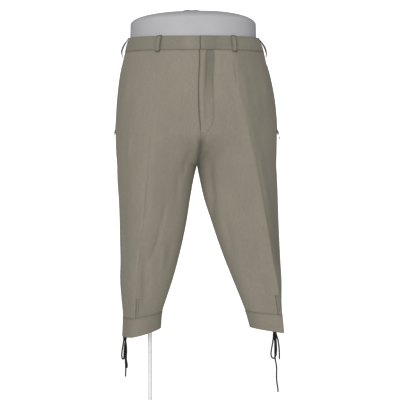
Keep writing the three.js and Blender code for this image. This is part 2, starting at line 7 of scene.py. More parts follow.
import json
import logging
import math
from dataclasses import dataclass, field
from enum import Enum
from typing import ClassVar, Sequence

import bmesh
import bpy
import numpy as np
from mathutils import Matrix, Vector, noise

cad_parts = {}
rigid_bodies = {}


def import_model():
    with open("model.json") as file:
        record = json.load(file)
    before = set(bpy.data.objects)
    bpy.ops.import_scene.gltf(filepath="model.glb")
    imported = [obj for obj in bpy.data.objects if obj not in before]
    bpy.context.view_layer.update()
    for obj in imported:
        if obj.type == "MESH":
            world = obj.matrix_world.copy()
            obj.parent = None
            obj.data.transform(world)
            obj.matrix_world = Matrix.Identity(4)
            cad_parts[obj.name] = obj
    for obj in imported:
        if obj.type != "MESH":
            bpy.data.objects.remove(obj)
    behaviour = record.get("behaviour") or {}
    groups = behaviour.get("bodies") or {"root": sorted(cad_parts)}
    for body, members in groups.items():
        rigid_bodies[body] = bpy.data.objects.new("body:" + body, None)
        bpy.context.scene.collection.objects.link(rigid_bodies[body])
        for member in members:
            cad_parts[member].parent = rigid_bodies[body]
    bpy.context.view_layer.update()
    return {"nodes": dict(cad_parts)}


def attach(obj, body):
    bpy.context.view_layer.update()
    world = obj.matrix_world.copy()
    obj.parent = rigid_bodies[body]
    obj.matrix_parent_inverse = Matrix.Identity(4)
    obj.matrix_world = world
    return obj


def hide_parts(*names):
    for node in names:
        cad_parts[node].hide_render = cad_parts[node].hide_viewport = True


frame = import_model()

log = logging.getLogger("trousers")
MM = 0.001
CLOTH_BODY = "trousers_on_form"

# Cut of the garment, as in the part's source. "Down" is measured from the waistband's top edge at the sides.
WAIST_HEIGHT = 1004
BAND_DEPTH = 36
FORK_START = 235
FORK = 318
CREASE_START = 150
CROTCH_WIDTH = 0.06
CUFF_SEAM = {"right": 694, "left": 684.5}
HEM = {"right": 742, "left": 730}
CLOTH = 1.6
DOUBLE_CLOTH = 2.2
SEAM_GAP = 0.3
STITCHED_GAP = 0.05
FRONT_DIP = 11
BACK_RISE = 8
DIP_FADE = 210
HIP_SIDE_POWER = 2.3
HIP_FRONT_POWER = 2.3
CREASE_POWER = 1.35

# Shares of the way round one half, from the centre front by the side seam to the centre back
FRONT_CREASE = 0.25
SIDE_SEAM = 0.5
BACK_CREASE = 0.75
RIDGE_REACH = 0.05
EDGE_SHARE = 0.0018  # about a millimetre on a panel
CREASE_WIDTH = 0.006
CREASE_COLUMNS = (-0.004, -0.0015, 0, 0.0015, 0.004)

# The left front beside its free edge: middle, width and height of the fold, the groove and the hollow
FLY_RIDGE = (5.5, 4.2, 2.2)
FLY_GROOVE = (14, 3.2, 2.0)
FLY_HOLLOW = (22, 8, 1.3)


class Face(Enum):
    """Which side of the garment a panel or a fold lies on."""

    FRONT = "front"
    BACK = "back"


class Grain(Enum):
    """How the cloth's lengthwise threads run on a piece."""

    UPRIGHT = 0.0
    ROUND = 90.0


class SmoothTable:
    """Named columns of a short table, each a smooth function of the table's first column."""

    def __init__(self, columns: Sequence[str], rows: Sequence[Sequence[float]]) -> None:
        """Keeps the columns.

        Args:
            columns: the columns' names, the first one being the position.
            rows: one row of numbers for each position, in rising order.
        """
        data = np.array(rows, float)
        self.positions = data[:, 0]
        self.values = {name: data[:, i + 1] for i, name in enumerate(columns[1:])}

    def __call__(self, name: str, at: np.ndarray | float) -> np.ndarray:
        """Gives a column's smooth value at each position.

        Args:
            name: the column.
            at: the positions, held within the table's own.

        Returns:
            The values, in the shape of the positions.
        """
        places, values = self.positions, self.values[name]
        last = len(places) - 1
        x = np.clip(np.asarray(at, float), places[0], places[-1])
        upper = np.clip(np.searchsorted(places, x, side="right"), 1, last)
        lower = upper - 1
        before = np.where(lower > 0, lower - 1, upper)
        after = np.where(upper < last, upper + 1, lower)
        step = places[upper] - places[lower]
        weight_before = step / 2 / (places[lower] - places[before])
        weight_after = step / 2 / (places[after] - places[upper])
        p = (x - places[lower]) / step
        p2, p3 = p * p, p * p * p
        at_lower = (1 + weight_before) * p3 - (1.5 + 2 * weight_before) * p2 + (weight_before - 0.5) * p + 1
        at_upper = (1.5 + weight_after) * p2 - (1 + weight_after) * p3 + 0.5 * p
        return (
            values[before] * weight_before * (2 * p2 - p3 - p)
            + values[lower] * at_lower
            + values[upper] * at_upper
            + values[after] * weight_after * (p3 - p2)
        )


HIP_COLUMNS = ["down", "right", "left", "seam", "front", "back"]
HIP_COLUMNS += ["crease_right", "crease_left", "ridge_right", "ridge_left"]
HIPS = SmoothTable(
    HIP_COLUMNS,
    [
        [0, -160, 161, 18, -118, 112, -66, 94, 0, 0],
        [17, -166, 170.5, 18.3, -121, 114, -68, 95, 0, 0],
        [36, -170, 176.5, 18.5, -124, 117, -70, 97, 0, 1],
        [60, -175.5, 182, 19, -127, 122, -73, 100, 0.4, 2.5],
        [100, -183, 192.5, 17.2, -131, 133, -79, 104, 0.8, 3.5],
        [150, -188.8, 202.2, 16.4, -133, 145, -86, 112, 1.4, 4],
        [200, -192, 207.5, 18, -129, 151, -92, 126, 2.2, 4],
        [235, -193.8, 209, 20.6, -124.5, 148, -98, 134, 2.6, 3.5],
        [280, -193, 208.5, 16, -119, 142, -103, 145, 2.6, 3],
        [318, -190.3, 207.5, 9, -114, 136, -106, 153, 2, 2],
    ],
)
LEG_COLUMNS = ["down", "inner", "outer", "front", "back", "crease_front", "crease_back", "slant"]
LEG_RIGHT = SmoothTable(
    LEG_COLUMNS,
    [
        [318, 8.8, -190.3, -111.5, 131, -106, -95, 0],
        [354, 0.5, -189.5, -109, 124, -110, -95, 0],
        [404, -8, -186, -105, 115, -115, -95, 1],
        [454, -15.5, -184, -99, 106, -119, -97, 2.5],
        [504, -25, -183, -94, 98, -126, -100, 4],
        [554, -36.3, -181.5, -88, 89, -131, -103, 6],
        [604, -49.3, -182.3, -83, 83, -135.5, -107, 8],
        [654, -65, -179, -78, 77, -139, -111, 10.5],
        [694, -76.8, -175.5, -75, 74, -141.5, -114, 12.5],
        [742, -81.5, -177, -74, 73, -144.5, -115, 18],
    ],
)
LEG_LEFT = SmoothTable(
    LEG_COLUMNS,
    [
        [318, 9.2, 207.5, -111.5, 131, 153, 110, 0],
        [354, 16.5, 209.5, -108, 124, 163, 112, 0],
        [404, 27.8, 211, -103, 115, 171, 114, 1],
        [454, 43.8, 212.5, -96, 106, 178, 118, 2],
        [504, 60.3, 215, -90, 97, 186, 124, 2.5],
        [554, 78.3, 217.5, -84, 88, 194, 130, 3],
        [604, 98.3, 220, -78, 82, 205, 138, 3.5],
        [654, 118.5, 219.5, -71, 76, 211, 146, 4],
        [684.5, 129.8, 221, -67, 72, 215.5, 150, 5],
        [730, 141.8, 225, -63, 68, 220.5, 154, 9],
    ],
)


def smoothstep(x: np.ndarray, low: float, high: float) -> np.ndarray:
    """Rises smoothly from 0 at low to 1 at high."""
    share = np.clip((x - low) / (high - low), 0, 1)
    return share * share * (3 - 2 * share)


def fall(x: np.ndarray, low: float, high: float) -> np.ndarray:
    """Falls smoothly from 1 at low to 0 at high."""
    return 1 - smoothstep(x, low, high)


def bell(x: np.ndarray, middle: float, width: float) -> np.ndarray:
    """Gives a smooth hump that is 1 at its middle and dies away on both sides."""
    return np.exp(-(((x - middle) / width) ** 2))


def hump(x: np.ndarray, shape: tuple[float, float, float]) -> np.ndarray:
    """Gives a smooth hump of a middle, a width and a height."""
    middle, width, height = shape
    return height * bell(x, middle, width)


def crotch_turn(down: np.ndarray) -> np.ndarray:
    """Gives how far round the crotch curve the centre edge is, in radians."""
    return np.clip((down - FORK_START) / (FORK - FORK_START), 0, 1) * np.pi / 2


def centre_x(down: np.ndarray) -> np.ndarray:
    """Gives the x of the centre edge, which runs from the hips' centre seam to the middle of the fork."""
    seam = HIPS("seam", down)
    return seam + (HIPS("seam", FORK) - seam) * (1 - np.cos(crotch_turn(down)))


def length_of(vectors: np.ndarray) -> np.ndarray:
    """Gives the length of each vector in the last axis, with that axis kept."""
    return np.sqrt((vectors * vectors).sum(-1, keepdims=True))


def spread(start: float, end: float, count: int) -> np.ndarray:
    """Gives count evenly spaced steps from start to end, both ends included."""
    return np.linspace(start, end, count + 1)


@dataclass(frozen=True)
class Half:
    """One half of the garment: its tables' columns and its leg.

    Attributes:
        name: "right" or "left", the wearer's.
        side: -1 for the right half and 1 for the left.
        leg: the leg's sections.
        bend: how the slant of the leg's sections runs from the side to the inseam.
        step: half the distance across which a normal is measured, as a share of the way round.
    """

    name: str
    side: int
    leg: SmoothTable
    bend: float
    step: float = 0.004

    def outer(self, down: np.ndarray) -> np.ndarray:
        """Gives the side seam's x on the hips."""
        return HIPS(self.name, down)

    def crease(self, down: np.ndarray) -> np.ndarray:
        """Gives the crease's x on the hips."""
        return HIPS("crease_" + self.name, down)

    def hip_angle(self, down: np.ndarray, x: np.ndarray) -> np.ndarray:
        """Gives the angle round a hip section at which it reaches x."""
        seam = HIPS("seam", down)
        share = np.clip((x - seam) / (self.outer(down) - seam), 0, 1)
        return np.arcsin(share ** (HIP_SIDE_POWER / 2))

    def hip_point(self, t: np.ndarray, down: np.ndarray) -> np.ndarray:
        """Gives points of the hip sections, with z left at 0.

        Args:
            t: shares of the way round the half.
            down: the sections' places, in the same shape.

        Returns:
            The points, with one more axis of three.
        """
        seam = HIPS("seam", down)
        front = t <= SIDE_SEAM
        depth = np.where(front, HIPS("front", down), HIPS("back", down))
        u = np.where(front, t, 1 - t)
        crease_angle = self.hip_angle(down, self.crease(down))
        outside = crease_angle + (u - FRONT_CREASE) / FRONT_CREASE * (np.pi / 2 - crease_angle)
        angle = np.where(u < FRONT_CREASE, u / FRONT_CREASE * crease_angle, outside)
        x = seam + (self.outer(down) - seam) * np.sin(angle) ** (2 / HIP_SIDE_POWER)
        across = np.clip(np.cos(angle), 0, 1) ** (2 / HIP_FRONT_POWER)
        tent = np.clip(1 - np.abs(u - FRONT_CREASE) / RIDGE_REACH, 0, 1)
        ridge = np.where(front, HIPS("ridge_" + self.name, down) * tent, 0)
        return np.stack([x, depth * across - ridge, np.zeros_like(x)], -1)

    def leg_point(self, t: np.ndarray, down: np.ndarray) -> np.ndarray:
        """Gives points of the leg sections, with z as the section's slant.

        Args:
            t: shares of the way round the leg.
            down: the sections' places, in the same shape.

        Returns:
            The points, with one more axis of three.
        """
        leg = self.leg
        front = t <= SIDE_SEAM
        u = np.where(front, t, 1 - t)
        crease = np.where(front, leg("crease_front", down), leg("crease_back", down))
        depth = np.where(front, leg("front", down), leg("back", down))
        inner, outer = leg("inner", down), leg("outer", down)
        edge = np.where(u < FRONT_CREASE, inner, outer)
        angle = np.where(u < FRONT_CREASE, u, SIDE_SEAM - u) / FRONT_CREASE * (np.pi / 2)
        x = crease + (edge - crease) * np.clip(np.cos(angle), 0, 1) ** (2 / CREASE_POWER)
        from_side = np.clip((x - outer) / (inner - outer), 0, None)
        return np.stack([x, depth * np.sin(angle), leg("slant", down) * from_side**self.bend], -1)

    def point(self, t: np.ndarray, down: np.ndarray) -> np.ndarray:
        """Gives points of the garment's outer surface.

        Args:
            t: shares of the way round the half.
            down: how far down each point lies, in the same shape.

        Returns:
            The points in millimetres, with one more axis of three.
        """
        t, down = np.broadcast_arrays(np.asarray(t, float), np.asarray(down, float))
        height = WAIST_HEIGHT - down
        leg = self.leg_point(t, np.maximum(down, FORK))
        leg[..., 2] += height
        hip = self.hip_point(t, down)
        fade = np.clip(1 - down / DIP_FADE, 0, 1)
        y = hip[..., 1]
        lean = np.where(y < 0, -FRONT_DIP * y / HIPS("front", down), BACK_RISE * y / HIPS("back", down))
        hip[..., 2] = height + fade * lean
        u = np.where(t <= SIDE_SEAM, t, 1 - t)
        turn = crotch_turn(down)
        at_centre = 1 - np.cos(turn)
        at_centre += (smoothstep(down, FORK_START, FORK) - at_centre) * smoothstep(u, 0, CROTCH_WIDTH)
        at_crease = smoothstep(down, CREASE_START, FORK)
        share = at_centre + (at_crease - at_centre) * np.clip(u / FRONT_CREASE, 0, 1) ** 3
        share = np.where(down > CREASE_START, share, 0)
        hip += (leg - hip) * share[..., None]
        drift = (self.outer(down) - self.leg("outer", FORK)) * share
        hip[..., 0] += drift * np.clip(u / FRONT_CREASE - 1, 0, 1) ** 2
        near_centre = np.where(u < FRONT_CREASE, np.cos(np.clip(u / FRONT_CREASE, 0, 1) * np.pi / 2) ** 2, 0)
        centre_height = WAIST_HEIGHT - FORK_START - (FORK - FORK_START) * np.sin(turn)
        hip[..., 2] += np.where(down > FORK_START, (centre_height - height) * near_centre, 0)
        return np.where((down >= FORK)[..., None], leg, hip)

    def normal(self, t: np.ndarray, down: np.ndarray) -> np.ndarray:
        """Gives the outward normals at points of the garment's surface."""
        t, down = np.broadcast_arrays(np.asarray(t, float), np.asarray(down, float))
        before, after = (np.clip(t + step, 0, 1) for step in (-self.step, self.step))
        across = self.point(after, down) - self.point(before, down)
        along = self.point(t, down + 1) - self.point(t, np.clip(down - 1, 0, None))
        normal = np.cross(along, across) * self.side
        return normal / length_of(normal)

    def above(self, t: np.ndarray, down: np.ndarray, lift: float) -> tuple[np.ndarray, np.ndarray]:
        """Gives points at a height over the surface, and the directions outwards there."""
        outward = self.normal(t, down)
        return self.point(t, down) + outward * lift, outward

    def t_at(self, down: np.ndarray, x: np.ndarray, face: Face = Face.FRONT) -> np.ndarray:
        """Gives where a hip section reaches x, as a share of the way round."""
        crease_angle = self.hip_angle(down, self.crease(down))
        angle = self.hip_angle(down, x)
        outside = FRONT_CREASE + (angle - crease_angle) / (np.pi / 2 - crease_angle) * FRONT_CREASE
        u = np.where(angle < crease_angle, angle / crease_angle * FRONT_CREASE, outside)
        return u if face is Face.FRONT else 1 - u

    def locate(self, face: Face, x: float, height: float) -> np.ndarray:
        """Finds the point of the surface that shows at a place of the front or back view.

        Args:
            face: the side looked at.
            x: the place's x, in millimetres.
            height: the place's height over the floor, in millimetres.

        Returns:
            The point of the surface.
        """
        ts = spread(0.001, 0.499, 200) if face is Face.FRONT else spread(0.999, 0.501, 200)
        down = WAIST_HEIGHT - height
        for _ in range(4):
            row = self.point(ts, np.full_like(ts, down))
            order = np.argsort(row[:, 0])
            t = np.interp(x, row[order, 0], ts[order])
            found = self.point(np.array([t]), np.array([down]))[0]
            down += found[2] - height
        return found


def sideways(outward: np.ndarray) -> np.ndarray:
    """Gives the level direction across each of a row of outward directions, of the same length in plan."""
    return np.stack([-outward[:, 1], outward[:, 0], 0 * outward[:, 0]], -1)


def band_of(
    line: np.ndarray, across: np.ndarray, outward: np.ndarray, offsets: np.ndarray
) -> tuple[np.ndarray, np.ndarray]:
    """Spreads a line out into a band.

    Args:
        line: the points of its middle.
        across: the direction across it at each point.
        outward: the direction outwards at each point.
        offsets: distances from the middle.

    Returns:
        The band's grid of points and its grid of outward directions.
    """
    points = line[:, None] + across[:, None] * offsets[None, :, None]
    return points, np.repeat(outward[:, None], len(offsets), 1)


RIGHT = Half("right", -1, LEG_RIGHT, 1.5)
LEFT = Half("left", 1, LEG_LEFT, 0.9)
HALVES = (RIGHT, LEFT)


def smooth_route(points: Sequence[Sequence[float]], spacing: float) -> np.ndarray:
    """Draws one smooth line through a cord's or a fold's points.

    Args:
        points: the points to pass through.
        spacing: the distance between the points that are given back.

    Returns:
        Points along the line, evenly enough spaced.
    """
    p = np.array(points, float)
    p = np.vstack([2 * p[0] - p[1], p, 2 * p[-1] - p[-2]])
    out = []
    for a, b, c, d in zip(p[:-3], p[1:-2], p[2:-1], p[3:]):
        ab, bc, cd = (max(np.linalg.norm(v) ** 0.5, 1e-4) for v in (b - a, c - b, d - c))
        start = ((b - a) / ab - (c - a) / (ab + bc) + (c - b) / bc) * bc
        end = ((c - b) / bc - (d - b) / (bc + cd) + (d - c) / cd) * bc
        steps = max(2, int(np.ceil(np.linalg.norm(c - b) / spacing)))
        s = (np.arange(steps) / steps)[:, None]
        curve = b + start * s + (3 * (c - b) - 2 * start - end) * s**2 + (2 * (b - c) + start + end) * s**3
        out.append(curve)
    return np.vstack([*out, p[-2][None]])


@dataclass(frozen=True)
class Fold:
    """A soft ridge or trough in the cloth.

    Attributes:
        path: its line as places (x, height) of the front or back view.
        rise: how far it stands out, or in where it is negative.
        width: half its width.
        fade: share of its length over which each end dies away.
    """

    path: tuple[tuple[float, float], ...]
    rise: float
    width: float
    fade: float = 0.35

    def lift(self, half: Half, face: Face, points: np.ndarray) -> np.ndarray:
        """Gives how far each point moves out.

        Args:
            half: the half of the garment that the fold is in.
            face: the panel that it is in.
            points: the panel's points, one a row.

        Returns:
            The outward move of each point, in millimetres.
        """
        line = np.array([half.locate(face, x, z) for x, z in self.path])
        line = smooth_route(line, 6)
        reach = 3 * self.width
        near = ((points > line.min(0) - reach) & (points < line.max(0) + reach)).all(1)
        chosen = points[near]
        if not len(chosen):
            return np.zeros(len(points))
        start, along = line[:-1], line[1:] - line[:-1]
        offset = chosen[:, None, :] - start[None]
        size = (along * along).sum(1)
        s = np.clip((offset * along[None]).sum(2) / size, 0, 1)
        away = offset - s[..., None] * along[None]
        distance = np.sqrt((away * away).sum(2))
        nearest = distance.argmin(1)
        rows = np.arange(len(chosen))
        share = (nearest + s[rows, nearest]) / len(along)
        ends = smoothstep(share, 0, self.fade) * smoothstep(1 - share, 0, self.fade)
        out = np.zeros(len(points))
        out[near] = FOLD_STRENGTH * self.rise * ends * np.exp(-((distance[rows, nearest] / self.width) ** 2))
        return out


FOLD_STRENGTH = 1.35  # every fold's rise is multiplied by this

# Folds as the photo shows them on the front, and like ones on the back, placed in the front and back views
FOLDS: dict[tuple[str, Face], tuple[Fold, ...]] = {
    ("right", Face.FRONT): (
        Fold(((-95, 796), (-100, 753), (-105, 707), (-110, 624), (-114, 564), (-119, 516)), -2.4, 8),
        Fold(((-117, 500), (-116, 433), (-117, 361), (-119, 323)), -3.4, 11),
        Fold(((-142, 775), (-151, 748), (-155, 719), (-156, 684)), 1.6, 8),
        Fold(((-78, 547), (-83, 509), (-97, 469), (-109, 442), (-111, 428)), -1.8, 6),
        Fold(((-64, 600), (-71, 564), (-78, 528)), -1.3, 5),
        Fold(((-50, 516), (-56, 469), (-63, 433)), -1.0, 9),
        Fold(((-71, 504), (-74, 452), (-78, 421)), 1.5, 9),
        Fold(((-104, 421), (-107, 385)), -0.9, 4),
        Fold(((3, 736), (-10, 708), (-22, 672), (-30, 634)), -1.7, 9),
        Fold(((-50, 851), (-47, 810), (-47, 762), (-45, 719)), -0.9, 5),
        Fold(((-33, 700), (-36, 640), (-42, 570)), -1.3, 9),
        Fold(((-150, 900), (-154, 850), (-156, 800)), -1.5, 13),
        Fold(((-170, 560), (-166, 470), (-164, 380)), -1.2, 10),
    ),
    ("left", Face.FRONT): (
        Fold(((98, 950), (102, 911), (108, 863)), -2.6, 3.8),
        Fold(((120, 920), (127, 851), (136, 810)), 1.8, 12),
        Fold(((155, 934), (165, 875), (170, 815), (172, 755)), -1.1, 12),
        Fold(((113, 827), (128, 767), (144, 696), (160, 624), (174, 552), (187, 481), (196, 421)), 1.6, 4),
        Fold(((130, 800), (145, 729), (161, 650), (178, 570), (193, 490)), -2.6, 7),
        Fold(((30, 724), (41, 672), (46, 612), (48, 564), (55, 516)), -3.4, 13),
        Fold(((26, 765), (30, 743), (36, 720)), -1.8, 4.5),
        Fold(((156, 509), (148, 487), (137, 461), (132, 450)), -1.8, 5),
        Fold(((146, 452), (144, 428)), 1.2, 4),
        Fold(((135, 421), (137, 385)), -0.9, 4),
        Fold(((186, 452), (168, 436), (150, 430)), -1.2, 6),
        Fold(((77, 958), (74, 930), (72, 899)), -0.9, 5),
        Fold(((79, 810), (81, 767)), -0.8, 4),
        Fold(((165, 409), (175, 368)), -1.5, 9),
        Fold(((70, 600), (86, 520), (100, 440)), -1.4, 10),
    ),
    ("right", Face.BACK): (
        Fold(((8, 722), (-22, 700), (-60, 690)), -3.2, 9),
        Fold(((-4, 690), (-30, 655), (-62, 632)), -2.6, 10),
        Fold(((-86, 660), (-88, 600), (-92, 520)), -2.2, 10),
        Fold(((-150, 880), (-156, 800), (-160, 720)), -1.6, 13),
        Fold(((-30, 560), (-60, 520), (-84, 505)), -1.8, 9),
        Fold(((-120, 500), (-118, 430), (-116, 360)), -2.4, 12),
        Fold(((-60, 900), (-52, 850), (-50, 790)), -1.1, 9),
    ),
    ("left", Face.BACK): (
        Fold(((12, 722), (44, 702), (80, 694)), -3.4, 9),
        Fold(((22, 686), (52, 656), (78, 640)), -2.4, 10),
        Fold(((104, 670), (104, 600), (108, 530)), -2.4, 10),
        Fold(((168, 880), (176, 800), (180, 700)), -1.8, 13),
        Fold(((70, 545), (98, 512), (130, 500)), -1.9, 9),
        Fold(((128, 480), (134, 420), (140, 350)), -2.2, 11),
        Fold(((84, 900), (78, 845), (76, 780)), -1.1, 9),
    ),
}


def drape_wave(points: np.ndarray, size: float, height: float, seed: float) -> np.ndarray:
    """Gives a slow, uneven swell of the cloth, stretched along its length.

    Args:
        points: the cloth's points, one a row, in millimetres.
        size: the width of a swell.
        height: how far it moves the cloth.
        seed: shifts the pattern, fixed for each piece.

    Returns:
        The outward move of each point.
    """
    scale = Vector((1 / size, 1 / size, 0.4 / size))
    shift = Vector((seed, -seed, 2 * seed))
    return np.array([height * noise.noise(Vector(p) * scale + shift) for p in points])


def fly_relief(offset: np.ndarray, down: np.ndarray) -> np.ndarray:
    """Gives how far the left front stands out beside its free edge: a folded ridge, a groove and a hollow.

    Args:
        offset: distances from the centre seam.
        down: places down the garment, in the same shape.

    Returns:
        The outward move of each point.
    """
    ridge = hump(offset, FLY_RIDGE)
    groove = hump(offset, FLY_GROOVE)
    hollow = hump(offset, FLY_HOLLOW) * fall(down, 100, 180)
    return (ridge - groove - hollow) * smoothstep(down, 36, 56) * fall(down, 200, 245)


def fly_shade(offset: np.ndarray, down: np.ndarray) -> np.ndarray:
    """Gives the painted shade beside the fly's fold, a strip and a line in its groove, from 0 to 1."""
    across = smoothstep(offset, 10, 15) * fall(offset, 27, 36)
    strip = across * (0.5 - 0.38 * smoothstep(down, 90, 185)) * fall(down, 195, 225)
    groove = hump(offset, (FLY_GROOVE[0], 1.8, 0.22)) * fall(down, 110, 160)
    return strip + groove


# Objects from grids and rings of points


def place_object(name: str, data: bpy.types.ID) -> bpy.types.Object:
    """Makes an object of its data and puts it in the scene."""
    obj = bpy.data.objects.new(name, data)
    bpy.context.scene.collection.objects.link(obj)
    return obj


@dataclass
class Skin:
    """A closed surface made of rows of points, with its own cloth coordinates.

    Attributes:
        points: the points in millimetres.
        faces: four point indices of each face, with one of them twice for a triangle.
        uv: each point's place on the flat cloth, in metres.
        marks: named values of each point for the finish.
    """

    points: np.ndarray
    faces: np.ndarray
    uv: np.ndarray
    marks: dict[str, np.ndarray] = field(default_factory=dict)

    def make(self, name: str, finish: bpy.types.Material) -> bpy.types.Object:
        """Makes the object.

        Args:
            name: the object's name.
            finish: its material.

        Returns:
            The object, at the origin, with smooth faces.
        """
        mesh = bpy.data.meshes.new(name)
        faces = [list(dict.fromkeys(face)) for face in self.faces.tolist()]
        mesh.from_pydata((self.points * MM).tolist(), [], faces)
        layer = mesh.uv_layers.new(name="cloth")
        corners = np.zeros(len(mesh.loops), int)
        mesh.loops.foreach_get("vertex_index", corners)
        layer.data.foreach_set("uv", self.uv[corners].astype(np.float32).ravel())
        for label, values in self.marks.items():
            mark = mesh.attributes.new(label, "FLOAT", "POINT")
            mark.data.foreach_set("value", values.astype(np.float32))
        mesh.materials.append(finish)
        mesh.polygons.foreach_set("use_smooth", [True] * len(mesh.polygons))
        mesh.update()
        return place_object(name, mesh)

    @staticmethod
    def joined(skins: Sequence["Skin"]) -> "Skin":
        """Joins several surfaces into one."""
        first = np.cumsum([0] + [len(s.points) for s in skins[:-1]])
        return Skin(
            np.concatenate([s.points for s in skins]),
            np.concatenate([s.faces + k for s, k in zip(skins, first)]),
            np.concatenate([s.uv for s in skins]),
            {label: np.concatenate([s.marks[label] for s in skins]) for label in skins[0].marks},
        )


def grid_faces(rows: int, columns: int, wrapped: bool, first: int, flipped: bool) -> np.ndarray:
    """Gives the four-sided faces between the points of a grid.

    Args:
        rows: the grid's rows.
        columns: its columns.
        wrapped: whether it closes on itself across its columns.
        first: the index of its first point.
        flipped: whether the faces turn the other way.

    Returns:
        One row of four indices for each face.
    """
    i, j = np.meshgrid(np.arange(rows - 1), np.arange(columns if wrapped else columns - 1), indexing="ij")
    j2 = (j + 1) % columns
    faces = np.stack([i * columns + j, (i + 1) * columns + j, (i + 1) * columns + j2, i * columns + j2], -1)
    faces = faces.reshape(-1, 4) + first
    return faces[:, ::-1] if flipped else faces


def fan(first: int, count: int, middle: int) -> np.ndarray:
    """Gives the triangles between a ring of points and one in its middle, as faces with that point twice."""
    ring = np.arange(count)
    tip = np.full_like(ring, middle)
    return np.stack([first + ring, first + (ring + 1) % count, tip, tip], 1)


def ends_outward(points: np.ndarray, faces: np.ndarray) -> np.ndarray:
    """Turns all faces round if they point inwards."""
    a, b, c, d = (points[faces[:, k]] for k in range(4))
    volume = (np.cross(b, c) * a).sum() + (np.cross(c, d) * a).sum()
    return faces[:, ::-1] if volume < 0 else faces


@dataclass
class Shell:
    """A thin piece of cloth made from a grid of points on the garment, with turned edges.

    Attributes:
        outward: the grid's unit normals.
        middle: the grid's points at the middle of the cloth's thickness.
        thick: the cloth's thickness, one number or one for each grid point.
        wrapped: whether the grid closes on itself across its columns.
        soft_edges: which edges are turned: top, bottom, first and last column.
        sink: how far the cloth draws in at its seams.
        sink_width: how wide that hollow is.
        grain: how the cloth's threads run.
        marks: named values of each grid point for the finish.
        firm: where an edge stays square, from 0 to 1, or None.
        limit: the x of the centre seam's side at each grid point, or None.
        side: which side of the limit the cloth stays on.
    """

    middle: np.ndarray
    outward: np.ndarray
    thick: float | np.ndarray
    wrapped: bool = False
    soft_edges: tuple[bool, bool, bool, bool] = (True, True, True, True)
    sink: float = 0.0
    sink_width: float = 2.2
    grain: Grain = Grain.UPRIGHT
    marks: dict[str, np.ndarray] = field(default_factory=dict)
    firm: np.ndarray | None = None
    limit: np.ndarray | None = None
    side: int = 1

    def lengths(self) -> tuple[np.ndarray, np.ndarray]:
        """Gives each point's distance along its row and down its column."""
        across = length_of(np.diff(self.middle, axis=1))[..., 0]
        along = length_of(np.diff(self.middle, axis=0))[..., 0]
        across = np.hstack([np.zeros((len(across), 1)), np.cumsum(across, 1)])
        along = np.vstack([np.zeros((1, along.shape[1])), np.cumsum(along, 0)])
        return across, along

    def edge_distance(self) -> np.ndarray:
        """Gives each point's distance to the nearest turned edge."""
        across, along = self.lengths()
        top, bottom, first, last = self.soft_edges
        far = np.full(across.shape, 1e3)
        if top:
            far = np.minimum(far, along)
        if bottom:
            far = np.minimum(far, along[-1:] - along)
        if first and not self.wrapped:
            far = np.minimum(far, across)
        if last and not self.wrapped:
            far = np.minimum(far, across[:, -1:] - across)
        return far if self.firm is None else far + 10 * self.firm

    def held(self, points: np.ndarray) -> np.ndarray:
        """Moves back the points that would cross the centre seam."""
        if self.limit is not None:
            points[..., 0] += np.clip((self.limit - points[..., 0]) * self.side, 0, None) * self.side
        return points

    def skin(self, origin: float = 0.0) -> Skin:
        """Builds the closed shell.

        Args:
            origin: the column, as a share of the way across, that the cloth's straight grain runs along.

        Returns:
            The shell's surface.
        """
        rows, columns, _ = self.middle.shape
        far = self.edge_distance()
        radius = self.thick / 2
        inset = np.clip(radius - far, 0, radius)
        half = np.sqrt(np.clip(radius**2 - inset**2, 0, None)).clip(0.04)
        sunk = self.sink * bell(far, 0, self.sink_width)
        middle = self.middle - self.outward * sunk[..., None]
        outer = self.held(middle + self.outward * half[..., None])
        inner = self.held(middle - self.outward * half[..., None])
        points = np.concatenate([outer.reshape(-1, 3), inner.reshape(-1, 3)])
        layer = rows * columns
        layers = ((0, False), (layer, True))
        faces = [grid_faces(rows, columns, self.wrapped, first, flipped) for first, flipped in layers]
        index = np.arange(layer).reshape(rows, columns)
        for line, turned in ((index[0], True), (index[-1], False)):
            after = np.roll(line, -1) if self.wrapped else line[1:]
            before = line if self.wrapped else line[:-1]
            rim = np.stack([before, before + layer, after + layer, after], 1)
            faces.append(rim[:, ::-1] if turned else rim)
        if not self.wrapped:
            for line, turned in ((index[:, 0], False), (index[:, -1], True)):
                rim = np.stack([line[:-1], line[:-1] + layer, line[1:] + layer, line[1:]], 1)
                faces.append(rim[:, ::-1] if turned else rim)
        across, along = self.lengths()
        column = int(round(origin * (columns - 1)))
        u = (across - across[:, column : column + 1]) * MM
        v = along[:, column : column + 1] * MM + 0 * u
        if self.grain is Grain.ROUND:
            u, v = v, u
        uv = np.stack([u, v], -1).reshape(-1, 2)
        # Marks how near each point is to a turned edge, where the cloth's colour is made darker.
        darkening = bell(far, 0, 2.5).ravel()
        marks = {"edge": np.concatenate([darkening, darkening])}
        for label, values in self.marks.items():
            marks[label] = np.concatenate([values.ravel(), values.ravel()])
        faces = np.concatenate(faces)
        return Skin(points, ends_outward(points, faces), np.concatenate([uv, uv]), marks)


def with_edges(values: np.ndarray, reach: float) -> np.ndarray:
    """Adds close lines beside both ends of a row of numbers, for the turned edges there.

    Args:
        values: the numbers, rising or falling.
        reach: how much one millimetre is in the numbers' own unit.

    Returns:
        The numbers with the close lines added.
    """
    close = np.array([0.12, 0.3, 0.6, 1.0, 1.8, 3.0]) * reach * np.sign(values[-1] - values[0])
    inside = values[(np.abs(values - values[0]) > 3.6 * reach) & (np.abs(values - values[-1]) > 3.6 * reach)]
    return np.concatenate([values[:1], values[0] + close, inside, (values[-1] - close)[::-1], values[-1:]])


# Finishes


Socket = bpy.types.NodeSocket
Inputs = dict[str | int, object]


